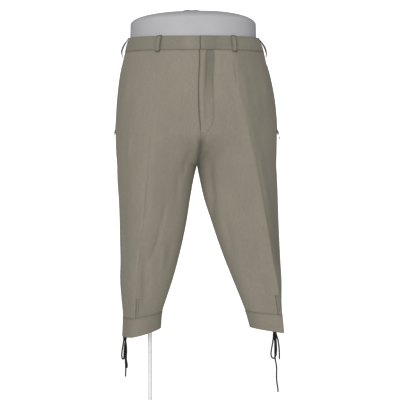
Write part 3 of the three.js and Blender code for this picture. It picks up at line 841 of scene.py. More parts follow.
class Nodes:
    """A node tree, with a short way to add its nodes."""

    def __init__(self, tree: bpy.types.NodeTree) -> None:
        """Keeps the tree."""
        self.tree = tree

    def add(self, kind: str, inputs: Inputs | None = None, **settings: object) -> bpy.types.Node:
        """Adds a node.

        Args:
            kind: the node's type.
            inputs: what each of its inputs is linked from or set to.
            settings: its own settings.

        Returns:
            The node.
        """
        node = self.tree.nodes.new(kind)
        for key, value in settings.items():
            setattr(node, key, value)
        for key, value in (inputs or {}).items():
            self.join(value, node.inputs[key])
        return node

    def join(self, source: object, target: Socket) -> None:
        """Links a socket to a target, or sets the target to a plain value."""
        if isinstance(source, Socket):
            self.tree.links.new(source, target)
        else:
            target.default_value = source


class Graph(Nodes):
    """A material's node tree, with a function for each step of a finish."""

    def __init__(self, name: str) -> None:
        """Starts a material with an empty surface shader."""
        self.material = bpy.data.materials.new(name)
        self.material.use_nodes = True
        super().__init__(self.material.node_tree)
        self.tree.nodes.clear()
        self.shader = self.add("ShaderNodeBsdfPrincipled")
        self.add("ShaderNodeOutputMaterial", {"Surface": self.shader.outputs[0]})

    def cloth(self) -> Socket:
        """Gives the place on the piece's own cloth coordinates, in metres."""
        return self.add("ShaderNodeUVMap", uv_map="cloth").outputs[0]

    def place(self) -> Socket:
        """Gives the place in the object's own coordinates."""
        return self.add("ShaderNodeTexCoord").outputs["Object"]

    def parts(self, vector: Socket) -> Sequence[Socket]:
        """Gives a vector's parts."""
        return self.add("ShaderNodeSeparateXYZ", {0: vector}).outputs

    def mark(self, name: str) -> Socket:
        """Gives the value of a named mark of the piece's points."""
        return self.add("ShaderNodeAttribute", attribute_name=name).outputs["Fac"]

    def math(self, operation: str, a: object, b: object = 0.0) -> Socket:
        """Adds a calculation and gives its result."""
        return self.add("ShaderNodeMath", {0: a, 1: b}, operation=operation).outputs[0]

    def times(self, a: object, b: object) -> Socket:
        """Multiplies two values."""
        return self.math("MULTIPLY", a, b)

    def plus(self, a: object, b: object) -> Socket:
        """Adds two values."""
        return self.math("ADD", a, b)

    def scaled(self, vector: Socket, x: float, y: float, z: float = 1.0) -> Socket:
        """Gives a vector with each part multiplied."""
        return self.add("ShaderNodeMapping", {"Vector": vector, "Scale": (x, y, z)}).outputs[0]

    def noise(self, vector: Socket, scale: float, detail: float = 2.0) -> Socket:
        """Gives soft noise from 0 to 1."""
        return self.add("ShaderNodeTexNoise", {"Vector": vector, "Scale": scale, "Detail": detail}).outputs[0]

    def remap(self, value: Socket, low: float, high: float, out_low: float, out_high: float) -> Socket:
        """Gives a value stretched smoothly from one range to another, held at its ends."""
        ranges = {"Value": value, "From Min": low, "From Max": high, "To Min": out_low, "To Max": out_high}
        return self.add("ShaderNodeMapRange", ranges, interpolation_type="SMOOTHSTEP").outputs["Result"]

    def blend(self, share: object, a: object, b: object) -> Socket:
        """Mixes two colours by a share."""
        return self.add("ShaderNodeMix", {0: share, 6: a, 7: b}, data_type="RGBA").outputs[2]

    def shade(self, color: Socket, factor: Socket) -> Socket:
        """Makes a colour darker or lighter by a factor."""
        return self.add("ShaderNodeVectorMath", {0: color, "Scale": factor}, operation="SCALE").outputs[0]

    def bump(self, height: Socket, depth: float, strength: float = 1.0) -> None:
        """Raises the surface's relief by a height from 0 to 1.

        Args:
            height: the relief.
            depth: the full height's size, in metres.
            strength: how much of it shows.
        """
        node = self.add("ShaderNodeBump", {"Height": height, "Distance": depth, "Strength": strength})
        self.join(node.outputs[0], self.shader.inputs["Normal"])

    def set(self, **values: object) -> None:
        """Sets or links the surface shader's inputs, with underscores for spaces."""
        for key, value in values.items():
            self.join(value, self.shader.inputs[key.replace("_", " ")])


def tone(red: float, green: float, blue: float, share: float = 1.0) -> tuple[float, float, float, float]:
    """Turns a share of a screen colour from 0 to 255 into the linear colour that a shader takes."""
    linear = [((c * share / 255 + 0.055) / 1.055) ** 2.4 for c in (red, green, blue)]
    return (*linear, 1.0)


@dataclass(frozen=True)
class WoolTwill:
    """The trousers' cloth: a light twill of two mixed yarns, with slubs both ways and a soft nap, carrying
    each piece's painted shade and painted light.
    """

    name: str = "wool_twill"
    light: tuple[float, float, float] = (137, 131.7, 118.5)
    dark: tuple[float, float, float] = (117, 112.4, 100)
    yarn: float = 0.62
    slub: float = 0.05
    nap: float = 0.16
    # how much darker the colour gets at full painted shade
    shadow: float = 0.55

    def material(self) -> bpy.types.Material:
        """Builds the finish on the piece's own cloth coordinates."""
        g = Graph(self.name)
        cloth = g.cloth()
        across, along, _ = g.parts(cloth)
        turn = 2 * math.pi / (self.yarn * MM)
        wale = g.math("SINE", g.times(g.plus(across, along), turn / 2))
        crossing = g.times(g.math("SINE", g.times(across, turn)), g.math("SINE", g.times(along, turn)))
        weave = g.plus(g.times(wale, 0.3), g.times(crossing, 0.2))
        weave = g.plus(weave, 0.5)
        upright = g.noise(g.scaled(cloth, 900, 90), 1.0, 3)
        level = g.noise(g.scaled(cloth, 110, 1000), 1.0, 3)
        fibres = g.noise(g.scaled(cloth, 2600, 2600), 1.0, 2)
        mixed = g.plus(g.times(upright, 0.5), g.times(level, 0.5))
        share = g.plus(g.times(mixed, 0.55), g.times(weave, 0.25))
        share = g.plus(share, g.times(fibres, 0.2))
        color = g.blend(g.remap(share, 0.3, 0.7, 0, 1), tone(*self.dark), tone(*self.light))
        thick_yarn = g.remap(g.noise(g.scaled(cloth, 420, 60), 1.0, 1), 0.62, 0.74, 1, 1 - self.slub)
        thin_yarn = g.remap(g.noise(g.scaled(cloth, 70, 480), 1.0, 1), 0.62, 0.74, 1, 1 + self.slub)
        clouds = g.remap(g.noise(g.scaled(cloth, 14, 9), 1.0, 2), 0.3, 0.7, 0.97, 1.025)
        streaks = g.remap(g.noise(g.scaled(cloth, 150, 16), 1.0, 3), 0.3, 0.7, 0.982, 1.015)
        factor = g.times(g.times(thick_yarn, thin_yarn), g.times(clouds, streaks))
        # The tint mark darkens the colour for painted shade, and lightens it where it is negative for painted
        # light.
        tint = g.mark("tint")
        factor = g.times(factor, g.math("SUBTRACT", 1, g.times(tint, self.shadow)))
        # Darker by a tenth towards each turned edge.
        edge = g.mark("edge")
        factor = g.times(factor, g.plus(g.times(edge, -0.1), 1))
        g.set(Base_Color=g.shade(color, factor), Roughness=0.92)
        g.set(Sheen_Weight=self.nap, Sheen_Roughness=0.45, Sheen_Tint=tone(214, 208, 190))
        g.shader.inputs["Specular IOR Level"].default_value = 0.25
        relief = g.plus(g.times(weave, 0.6), g.times(fibres, 0.4))
        g.bump(relief, 0.00022, 0.6)
        return g.material


@dataclass(frozen=True)
class Thread:
    """Sewing thread with a fine twist."""

    name: str = "sewing_thread"
    color: tuple[float, float, float] = (104, 99, 87)

    def material(self) -> bpy.types.Material:
        """Builds the finish on object coordinates."""
        g = Graph(self.name)
        place = g.place()
        twist = g.noise(place, 1800, 1)
        g.set(Base_Color=g.blend(twist, tone(*self.color, 0.86), tone(*self.color)), Roughness=0.6)
        g.bump(twist, 0.00012, 0.5)
        return g.material


@dataclass(frozen=True)
class FormCover:
    """The dress form's smooth pale cover, with a faint mottle."""

    name: str = "form_cover"
    color: tuple[float, float, float] = (163, 163, 166)

    def material(self) -> bpy.types.Material:
        """Builds the finish on object coordinates."""
        g = Graph(self.name)
        place = g.place()
        clouds = g.noise(place, 9, 2)
        grain = g.noise(place, 900, 2)
        color = g.blend(g.remap(clouds, 0.35, 0.65, 0, 1), tone(*self.color, 0.97), tone(*self.color))
        g.set(Base_Color=color, Roughness=g.remap(clouds, 0.3, 0.7, 0.42, 0.52))
        g.bump(grain, 0.00006, 0.4)
        return g.material


@dataclass(frozen=True)
class Metal:
    """A metal, painted or bare, with fine brushing and handling marks."""

    name: str
    color: tuple[float, float, float]
    roughness: float
    metallic: float
    darkening: float = 0.12
    bright: tuple[float, float] | None = None

    def material(self) -> bpy.types.Material:
        """Builds the finish on object coordinates, with a bright band about an x if one is given."""
        g = Graph(self.name)
        place = g.place()
        marks = g.noise(place, 160, 4)
        brushing = g.noise(g.scaled(place, 40, 40, 900), 1.0, 2)
        dark = tone(*self.color, 1 - self.darkening)
        color = g.blend(g.remap(marks, 0.35, 0.7, 0, 1), tone(*self.color), dark)
        if self.bright:
            middle, reach = (v * MM for v in self.bright)
            away = g.math("ABSOLUTE", g.math("SUBTRACT", g.parts(place)[0], middle))
            color = g.blend(g.remap(away, reach - 0.0006, reach + 0.0006, 1, 0), color, tone(176, 176, 177))
        rough = g.remap(brushing, 0.3, 0.7, self.roughness - 0.05, self.roughness + 0.08)
        g.set(Base_Color=color, Roughness=rough, Metallic=self.metallic)
        g.bump(brushing, 0.00004, 0.4)
        return g.material


@dataclass(frozen=True)
class BraidedLace:
    """The dark lace: a tight braid with a dry, slightly waxed surface, on its own coordinates."""

    name: str = "braided_lace"
    color: tuple[float, float, float] = (44, 34, 30)
    strand: float = 1.3

    def material(self) -> bpy.types.Material:
        """Builds the finish from the coordinates round and along the lace."""
        g = Graph(self.name)
        cloth = g.cloth()
        around, along, _ = g.parts(cloth)
        turn = 2 * math.pi / (self.strand * MM)
        one = g.math("SINE", g.times(g.plus(around, along), turn))
        other = g.math("SINE", g.times(g.math("SUBTRACT", around, along), turn))
        braid = g.math("MAXIMUM", one, other)
        fibres = g.noise(g.scaled(cloth, 2400, 2400), 1.0, 2)
        share = g.remap(g.plus(g.times(braid, 0.35), fibres), 0.3, 1.1, 0, 1)
        color = g.blend(share, tone(*self.color, 0.6), tone(*self.color))
        g.set(Base_Color=color, Roughness=0.72)
        g.shader.inputs["Specular IOR Level"].default_value = 0.3
        g.bump(g.plus(g.times(braid, 0.5), 0.5), 0.0003, 0.8)
        return g.material


@dataclass(frozen=True)
class StageFinish:
    """The pale floor and backdrop."""

    name: str = "stage_white"
    glow: float = 0.75

    def material(self) -> bpy.types.Material:
        """Builds an even white."""
        g = Graph(self.name)
        g.set(Base_Color=(0.86, 0.86, 0.86, 1), Roughness=0.9)
        g.set(Emission_Color=(1, 1, 1, 1), Emission_Strength=self.glow)
        return g.material


class Finishes:
    """Every finish of the model, made once."""

    def __init__(self) -> None:
        """Builds the materials."""
        self.wool = WoolTwill().material()
        self.tape = WoolTwill("zip_tape", (118, 113, 100), (102, 97, 86), 0.5, 0.03, 0.1).material()
        self.thread = Thread().material()
        self.dark_thread = Thread("bar_tack_thread", (70, 64, 55)).material()
        self.form = FormCover().material()
        self.black_steel = Metal("black_steel", (20, 20, 22), 0.7, 0.0, bright=(-4.0, 6.5)).material()
        self.bright_steel = Metal("bright_steel", (196, 197, 196), 0.28, 1.0).material()
        self.white_steel = Metal("white_steel", (228, 228, 226), 0.38, 0.0, 0.04).material()
        self.zip_metal = Metal("zip_metal", (150, 145, 132), 0.34, 0.9).material()
        self.lace = BraidedLace().material()
        self.stage = StageFinish().material()


# Rows of stitches and teeth, made by one Geometry Nodes tree


class Bit(Enum):
    """What a row repeats."""

    STITCH = "stitch"
    TOOTH = "tooth"


@dataclass(frozen=True)
class RowSizes:
    """Sizes of a row's repeated piece.

    Attributes:
        bit: what is repeated.
        pitch: the distance from one to the next.
        length: its size along the row.
        width: its size across the row.
        height: its size outwards.
        jitter: the most that one turns away from the row, in degrees.
    """

    bit: Bit
    pitch: float
    length: float
    width: float
    height: float
    jitter: float = 3.0


TOPSTITCH = RowSizes(Bit.STITCH, 2.9, 2.3, 0.55, 0.45)
BAR_TACK = RowSizes(Bit.STITCH, 0.6, 0.75, 0.75, 0.6, 8)
ZIP_TEETH = RowSizes(Bit.TOOTH, 1.5, 0.85, 2.1, 0.9, 0)


class RowTree(Nodes):
    """A Geometry Nodes tree that sets a small piece at even steps along lines.

    The lines are the edges of a mesh whose points carry "out", the direction that the piece faces.
    """

    SOCKETS = (
        ("Pitch", "NodeSocketFloat"),
        ("Size", "NodeSocketVector"),
        ("Jitter", "NodeSocketFloat"),
        ("Seed", "NodeSocketInt"),
        ("Finish", "NodeSocketMaterial"),
    )

    def __init__(self, bit: Bit) -> None:
        """Builds the tree for one kind of piece."""
        super().__init__(bpy.data.node_groups.new(f"{bit.value}_row", "GeometryNodeTree"))
        face = self.tree.interface
        face.new_socket("Lines", in_out="INPUT", socket_type="NodeSocketGeometry")
        self.ids = {n: face.new_socket(n, in_out="INPUT", socket_type=k).identifier for n, k in self.SOCKETS}
        face.new_socket("Row", in_out="OUTPUT", socket_type="NodeSocketGeometry")
        given = self.add("NodeGroupInput").outputs
        curves = self.add("GeometryNodeMeshToCurve", {"Mesh": given["Lines"]})
        lengths = {"Curve": curves.outputs[0], "Length": given["Pitch"]}
        even = self.add("GeometryNodeResampleCurve", lengths, mode="LENGTH")
        spots = self.add("GeometryNodeCurveToPoints", {"Curve": even.outputs[0]}, mode="EVALUATED").outputs
        out = self.add("GeometryNodeInputNamedAttribute", {"Name": "out"}, data_type="FLOAT_VECTOR")
        along = self.add("FunctionNodeAlignRotationToVector", {"Vector": spots["Tangent"]}, axis="X")
        towards = {"Rotation": along.outputs[0], "Vector": out.outputs[0]}
        facing = self.add("FunctionNodeAlignRotationToVector", towards, axis="Z", pivot_axis="X")
        limits = {2: -1.0, 3: 1.0, "Seed": given["Seed"]}
        chance = self.add("FunctionNodeRandomValue", limits, data_type="FLOAT")
        swing = self.add("ShaderNodeMath", {0: chance.outputs[1], 1: given["Jitter"]}, operation="MULTIPLY")
        yaw = self.add("ShaderNodeCombineXYZ", {"Z": swing.outputs[0]})
        turning = {"Rotation": facing.outputs[0], "Rotate By": yaw.outputs[0]}
        turned = self.add("FunctionNodeRotateRotation", turning, rotation_space="LOCAL")
        pieces = {
            "Points": spots["Points"],
            "Instance": self.shape(bit),
            "Rotation": turned.outputs[0],
            "Scale": given["Size"],
        }
        place = self.add("GeometryNodeInstanceOnPoints", pieces)
        solid = self.add("GeometryNodeRealizeInstances", {0: place.outputs[0]})
        dressing = {"Geometry": solid.outputs[0], "Material": given["Finish"]}
        self.add("NodeGroupOutput", {0: self.add("GeometryNodeSetMaterial", dressing).outputs[0]})

    def shape(self, bit: Bit) -> bpy.types.NodeSocket:
        """Gives the repeated piece, one unit long, wide and high."""
        if bit is Bit.STITCH:
            return self.add("GeometryNodeMeshIcoSphere", {"Radius": 0.5, "Subdivisions": 2}).outputs[0]
        drum = {"Vertices": 8, "Radius": 0.54, "Depth": 1.0}
        return self.add("GeometryNodeMeshCylinder", drum).outputs[0]


@dataclass
class Row:
    """Lines that one kind of row follows, gathered into one piece."""

    name: str
    sizes: RowSizes
    finish: bpy.types.Material
    body: str = CLOTH_BODY
    seed: int = 7
    lines: list[tuple[np.ndarray, np.ndarray]] = field(default_factory=list)

    def follow(self, points: np.ndarray, outward: np.ndarray) -> None:
        """Adds a line, in millimetres, with the direction outwards at each point."""
        self.lines.append((np.asarray(points, float), np.asarray(outward, float)))

    def make(self, trees: dict[Bit, RowTree]) -> bpy.types.Object:
        """Makes the row as one plain mesh.

        Args:
            trees: the Geometry Nodes tree of each kind of piece.

        Returns:
            The object.
        """
        points = np.concatenate([p for p, _ in self.lines])
        outward = np.concatenate([o for _, o in self.lines])
        edges, first = [], 0
        for line, _ in self.lines:
            edges += [(first + i, first + i + 1) for i in range(len(line) - 1)]
            first += len(line)
        mesh = bpy.data.meshes.new(self.name + "_lines")
        mesh.from_pydata((points * MM).tolist(), edges, [])
        mark = mesh.attributes.new("out", "FLOAT_VECTOR", "POINT")
        mark.data.foreach_set("vector", outward.astype(np.float32).ravel())
        guide = place_object(self.name + "_lines", mesh)
        tree = trees[self.sizes.bit]
        modifier = guide.modifiers.new("row", "NODES")
        modifier.node_group = tree.tree
        sizes = self.sizes
        values = {
            "Pitch": sizes.pitch * MM,
            "Size": [v * MM for v in (sizes.length, sizes.width, sizes.height)],
            "Jitter": math.radians(sizes.jitter),
            "Seed": self.seed,
            "Finish": self.finish,
        }
        for name, value in values.items():
            modifier[tree.ids[name]] = value
        bpy.context.view_layer.update()
        evaluated = guide.evaluated_get(bpy.context.evaluated_depsgraph_get())
        plain = bpy.data.meshes.new_from_object(evaluated)
        bpy.data.objects.remove(guide)
        plain.polygons.foreach_set("use_smooth", [self.sizes.bit is Bit.STITCH] * len(plain.polygons))
        return place_object(self.name, plain)


# The trousers' pieces


@dataclass
class Leg:
    """The front and back of one half, from the waistband to the cuff.

    Attributes:
        half: the half that it is on.
        columns: how finely a panel is divided across.
        rows: how finely it is divided along.
        swell: the height of the cloth's slow swell.
        swell_size: how wide a swell is.
        clear: how far from its edges a panel stays without folds.
        pinch: how far the pressed crease stands out.
        pucker: how far the cloth draws up and down along its seams.
        groove: how deep the right front lies beside the fly.
        groove_at: how far that is from the centre seam.
        crotch_shadow_width: half the width of the painted shadow in the crotch.
        crotch_shadow_height: its middle's height.
        crotch_shadow_reach: how far it runs up and down at its full tone.
        crotch_shadow_fade: how far beyond that it fades.
        back_crotch_shadow: its share at the back.
        CREASE_X: places along the left front's crease, with their heights in CREASE_Z.
        INNER_PAINTED_LIGHT: how much painted light a front's inner side gets, where that starts, and where it
            is full.
    """

    half: Half
    columns: int = 92
    rows: int = 168
    swell: float = 0.9
    swell_size: float = 46.0
    clear: float = 9.0
    pinch: float = 0.7
    pucker: float = 0.16
    groove: float = 2.4
    groove_at: float = 1.6
    crotch_shadow_width: float = 7.5
    crotch_shadow_height: float = 712.0
    crotch_shadow_reach: float = 22.0
    crotch_shadow_fade: float = 16.0
    back_crotch_shadow: float = 0.6

    CREASE_X: ClassVar[tuple[float, ...]] = (97, 106, 116, 133, 149, 163, 176, 189, 198)
    CREASE_Z: ClassVar[tuple[float, ...]] = (955, 862, 827, 767, 696, 624, 552, 481, 421)
    INNER_PAINTED_LIGHT: ClassVar[dict[str, tuple[float, float, float]]] = {
        "right": (0.21, 245, 285),
        "left": (0.17, 330, 400),
    }

    def shade(self, face: Face, points: np.ndarray, down: np.ndarray) -> np.ndarray:
        """Gives the painted shade in the crotch, beside the fly and by the left front's crease, up to 1, with
        painted light below 0.

        Args:
            face: the front or the back.
            points: the panel's grid of points.
            down: their places down the garment.

        Returns:
            The painted shade of each grid point.
        """
        offset = (points[..., 0] - centre_x(down)) * self.half.side
        # Painted shadow in the crotch, round the centre seam.
        past = np.clip(np.abs(points[..., 2] - self.crotch_shadow_height) - self.crotch_shadow_reach, 0, None)
        hollow = np.exp(-((offset / self.crotch_shadow_width) ** 2) - (past / self.crotch_shadow_fade) ** 2)
        if face is Face.BACK:
            return self.back_crotch_shadow * hollow
        if self.half is LEFT:
            # Painted shade down the inner thigh.
            thigh_shadow = bell(offset, 3, 13) * smoothstep(down, 270, 330) * fall(down, 340, 440)
            crease = self.crease_shade(points)
            dark = hollow + 0.3 * thigh_shadow + crease + fly_shade(offset, down)
            return np.clip(dark, 0, 1) - self.inner_painted_light(points, down)
        # Painted shade down the inner thigh, and a painted shadow line beside the fly's edge.
        thigh_shadow = bell(offset, 0, 7) * smoothstep(down, 300, 340) * fall(down, 360, 440)
        beside = 0.65 * bell(offset, self.groove_at, 1.5) * fall(down, 236, 250)
        return np.clip(hollow + beside + 0.25 * thigh_shadow, 0, 1) - self.inner_painted_light(points, down)

    def crease_shade(self, points: np.ndarray) -> np.ndarray:
        """Gives the painted shade on the side of the left front's crease that turns away from the light."""
        z = points[..., 2]
        past = points[..., 0] - np.interp(z, self.CREASE_Z[::-1], self.CREASE_X[::-1])
        high = smoothstep(z, 740, 860)
        side = smoothstep(past, -1.5, 1.5 + 6 * high) * fall((past - 40 * high) / (1 + high), 10, 40)
        return (0.34 - 0.16 * high) * smoothstep(z, 400, 470) * side

    def inner_painted_light(self, points: np.ndarray, down: np.ndarray) -> np.ndarray:
        """Gives the painted light on the front's inner side, where it turns to the light floor."""
        crease, inner = self.half.leg("crease_front", down), self.half.leg("inner", down)
        u = (points[..., 0] - crease) / (inner - crease)
        amount, start, full = self.INNER_PAINTED_LIGHT[self.half.name]
        return amount * smoothstep(u, 0.3, 0.75) * smoothstep(down, start, full)

    def surface(self, face: Face) -> Shell:
        """Builds one panel of the leg.

        Args:
            face: the front or the back.

        Returns:
            The panel's shell, with its folds.
        """
        half = self.half
        end = CUFF_SEAM[half.name] - STITCHED_GAP
        ts = with_edges(spread(0, SIDE_SEAM, self.columns), EDGE_SHARE)
        if face is Face.BACK:
            ts = 1 - ts[::-1]
        crease = FRONT_CREASE if face is Face.FRONT else BACK_CREASE
        ts = np.unique(np.round(np.concatenate([ts, crease + np.array(CREASE_COLUMNS)]), 6))
        downs = with_edges(spread(BAND_DEPTH + STITCHED_GAP, end, self.rows), 1.0)
        t, down = np.meshgrid(ts, downs)
        points = half.point(t, down)
        outward = half.normal(t, down)
        flat = points.reshape(-1, 3)
        lift = sum(fold.lift(half, face, flat) for fold in FOLDS[half.name, face])
        lift = lift + drape_wave(flat, self.swell_size, self.swell, 3.1 * half.side + len(face.value))
        inside = np.minimum(ts - ts[0], ts[-1] - ts) / EDGE_SHARE
        clear = smoothstep(inside, 0, self.clear)[None]
        for gap in (downs - downs[0], downs[-1] - downs):
            clear = clear * smoothstep(gap, 0, 2 * self.clear)[:, None]
        lift = lift.reshape(t.shape) * clear
        seam_sides = (ts < 0.02) | (ts > 0.98)
        pucker = self.pucker * np.sin(downs / 3.1 + 2 * np.sin(downs / 37))[:, None]
        lift = lift + pucker * bell(inside, 3, 3)[None] * np.where(seam_sides, 0.5, 1)[None]
        pressed = self.pinch * smoothstep(down, 150, 260) * clear
        lift = lift + pressed * bell(t, crease, CREASE_WIDTH)
        offset = (points[..., 0] - HIPS("seam", down)) * half.side
        if face is Face.FRONT and half is LEFT:
            lift = lift + fly_relief(offset, down)
        if face is Face.FRONT and half is RIGHT:
            lift = lift - self.groove * (bell(offset, self.groove_at, 2.2) * fall(down, 225, 248))
        # The panel's painted shade and painted light, kept as a mark for its colour.
        shade = self.shade(face, points, down)
        points = points + outward * (lift - CLOTH / 2)[..., None]
        limit = centre_x(down) + half.side * STITCHED_GAP / 2
        sign = -1 if face is Face.FRONT else 1
        points[..., 1] = sign * np.maximum(sign * points[..., 1], STITCHED_GAP / 2)
        near_fork = smoothstep(down, FORK_START, FORK_START + 30) * fall(down, FORK + 10, FORK + 60)
        near_centre = np.where(np.minimum(t, 1 - t) < 0.1, near_fork, 0)
        seam = {"firm": near_centre, "limit": limit, "side": half.side}
        return Shell(points, outward, CLOTH, sink=0.3, marks={"tint": shade}, **seam)

    def make(self, face: Face, finish: bpy.types.Material) -> bpy.types.Object:
        """Makes one panel, in place of its solid."""
        return cloth_piece(self.surface(face), f"{face.value}_{self.half.name}", finish)


def settle(
    piece: bpy.types.Object, *nodes: str, slot: str | None = None, body: str = CLOTH_BODY
) -> bpy.types.Object:
    """Lets a piece ride on its body and stand for its solids.

    Args:
        piece: the finished piece.
        nodes: the CAD nodes that it replaces.
        slot: the record's material slot; not used.
        body: the CAD body that it rides on.

    Returns:
        The piece.
    """
    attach(piece, body)
    if nodes:
        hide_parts(*nodes)
    log.info("%s: %d faces", piece.name, len(piece.data.polygons))
    return piece


def cloth_piece(
    shell: Shell, node: str, finish: bpy.types.Material, origin: float = 0.5
) -> bpy.types.Object:
    """Makes a piece of the trousers' cloth, in place of its solid.

    Args:
        shell: its shape.
        node: its CAD node.
        finish: its material.
        origin: the column, as a share of the way across, that its straight grain runs along.

    Returns:
        The piece.
    """
    return settle(shell.skin(origin).make(node + "_cloth", finish), node, slot="wool")


@dataclass
class Waistband:
    """The two halves of the waistband, with the step where the under layer of the fly's extension ends, and
    painted shade over the band.
    """

    columns: int = 190
    rows: int = 14
    stand: float = 0.4
    # painted shade over the whole band
    shade: float = 0.22
    step_at: float = 33.0
    step_rise: float = 0.35
    stitch_in: float = 2.4

    STEP: ClassVar[tuple[float, float, float]] = (0, 1.4, 0.9)
    LEFT_END: ClassVar[tuple[float, float, float]] = (3.5, 2.6, 0.9)
    RIGHT_END: ClassVar[tuple[float, float, float]] = (0, 1.8, 1.1)
    RIGHT_END_SHADOW: ClassVar[tuple[float, float, float]] = (0, 1.4, 0.5)

    def make(self, half: Half, finish: bpy.types.Material) -> bpy.types.Object:
        """Makes one half, in place of its solid."""
        ts = with_edges(spread(0, 1, self.columns), 0.0019)
        t, down = np.meshgrid(ts, with_edges(spread(0, BAND_DEPTH, self.rows), 1.0))
        outward = half.normal(t, down)
        points = half.point(t, down)
        lift = np.full(t.shape, self.stand - DOUBLE_CLOTH / 2)
        front = np.where(t < SIDE_SEAM, 1, 0)
        if half is LEFT:
            away = points[..., 0] - HIPS("seam", down) - self.step_at
            lift = lift - front * hump(away, self.STEP) + front * self.step_rise * (away < 0)
        lift = lift + drape_wave(points.reshape(-1, 3), 38, 0.35, 5 + half.side).reshape(t.shape) * 0.6
        offset = (points[..., 0] - HIPS("seam", down)) * half.side
        if half is LEFT:
            lift = lift + front * hump(offset, self.LEFT_END)
            # Painted shade over the band, deeper on the strip beside the fly.
            shade = self.shade + front * 0.16 * smoothstep(offset, 7, 10) * fall(offset, 34, 60)
        else:
            lift = lift - front * hump(offset, self.RIGHT_END)
            # Painted shade over the band, with less of it in a painted highlight near the right front's
            # middle, and a painted shadow at the band's end by the centre seam.
            shade = self.shade * (1 - front * bell(offset, 27, 13))
            shade = shade + front * hump(offset, self.RIGHT_END_SHADOW)
        points = points + outward * lift[..., None]
        limit = HIPS("seam", down) + half.side * STITCHED_GAP / 2
        looks = {"grain": Grain.ROUND, "marks": {"tint": shade}}
        shell = Shell(points, outward, DOUBLE_CLOTH, sink=0.12, limit=limit, side=half.side, **looks)
        return cloth_piece(shell, f"waistband_{half.name}", finish)


@dataclass
class Fly:
    """The fly on the left front, with a soft ridge at its edge and a groove beside it."""

    width: float = 33.0
    overhang: float = 1.5
    end: float = 245.0
    curve: float = 48.0
    thick: float = 1.1
    columns: int = 26
    rows: int = 70
    clear: float = 0.12
    edge_lift: float = 1.1
    stitch_in: float = 3.0

    def reach(self, down: np.ndarray) -> np.ndarray:
        """Gives the fly's width at each place down."""
        share = np.clip((down - self.end + self.curve) / self.curve, 0, 0.9995)
        return self.width * np.sqrt(1 - share * share)

    def spot(
        self, down: np.ndarray, offset: np.ndarray, lift: np.ndarray | float
    ) -> tuple[np.ndarray, np.ndarray]:
        """Gives points of the fly and their outward directions.

        Args:
            down: places down the garment.
            offset: distances from the centre seam.
            lift: heights over the front's surface.

        Returns:
            The points and the directions.
        """
        t = LEFT.t_at(down, HIPS("seam", down) + np.clip(offset, 0, None))
        outward = LEFT.normal(t, down)
        points = LEFT.point(t, down) + outward * (fly_relief(offset, down) + lift)[..., None]
        points[..., 0] += np.clip(offset, None, 0)
        return points, outward

    def make(self, finish: bpy.types.Material) -> bpy.types.Object:
        """Makes the fly, in place of its solid."""
        downs = with_edges(spread(BAND_DEPTH + 1, self.end - 1, self.rows), 1.0)
        shares = with_edges(spread(0, 1, self.columns), 0.028)
        share, down = np.meshgrid(shares, downs)
        offset = -self.overhang + share * (self.reach(down) + self.overhang)
        thin = self.thick * (0.3 + 0.45 * fall(offset, 6, self.width - 4) * fall(down, 175, 225))
        edge = self.edge_lift * bell(offset, -self.overhang, 3) * fall(down, 185, 225)
        points, outward = self.spot(down, offset, self.clear + thin / 2 + edge)
        shell = Shell(points, outward, thin, marks={"tint": fly_shade(offset, down)})
        return cloth_piece(shell, "fly", finish, 0.0)


@dataclass(frozen=True)
class Place:
    """Where a belt loop stands and how it is bent.

    Attributes:
        half: the half of the garment that it is on.
        end: how far down its lower end is.
        arch: how far its middle stands out.
        x: its x, or None on the side seam.
        face: the side that it is on.
        lean: how far its end is from under its top.
        turn: how far the middle of its arch is twisted, in degrees.
        sag: how low the arch's highest place lies, with 1 for the middle.
    """

    half: Half
    end: float
    arch: float
    x: float | None = None
    face: Face = Face.FRONT
    lean: float = 0.0
    turn: float = 0.0
    sag: float = 1.0


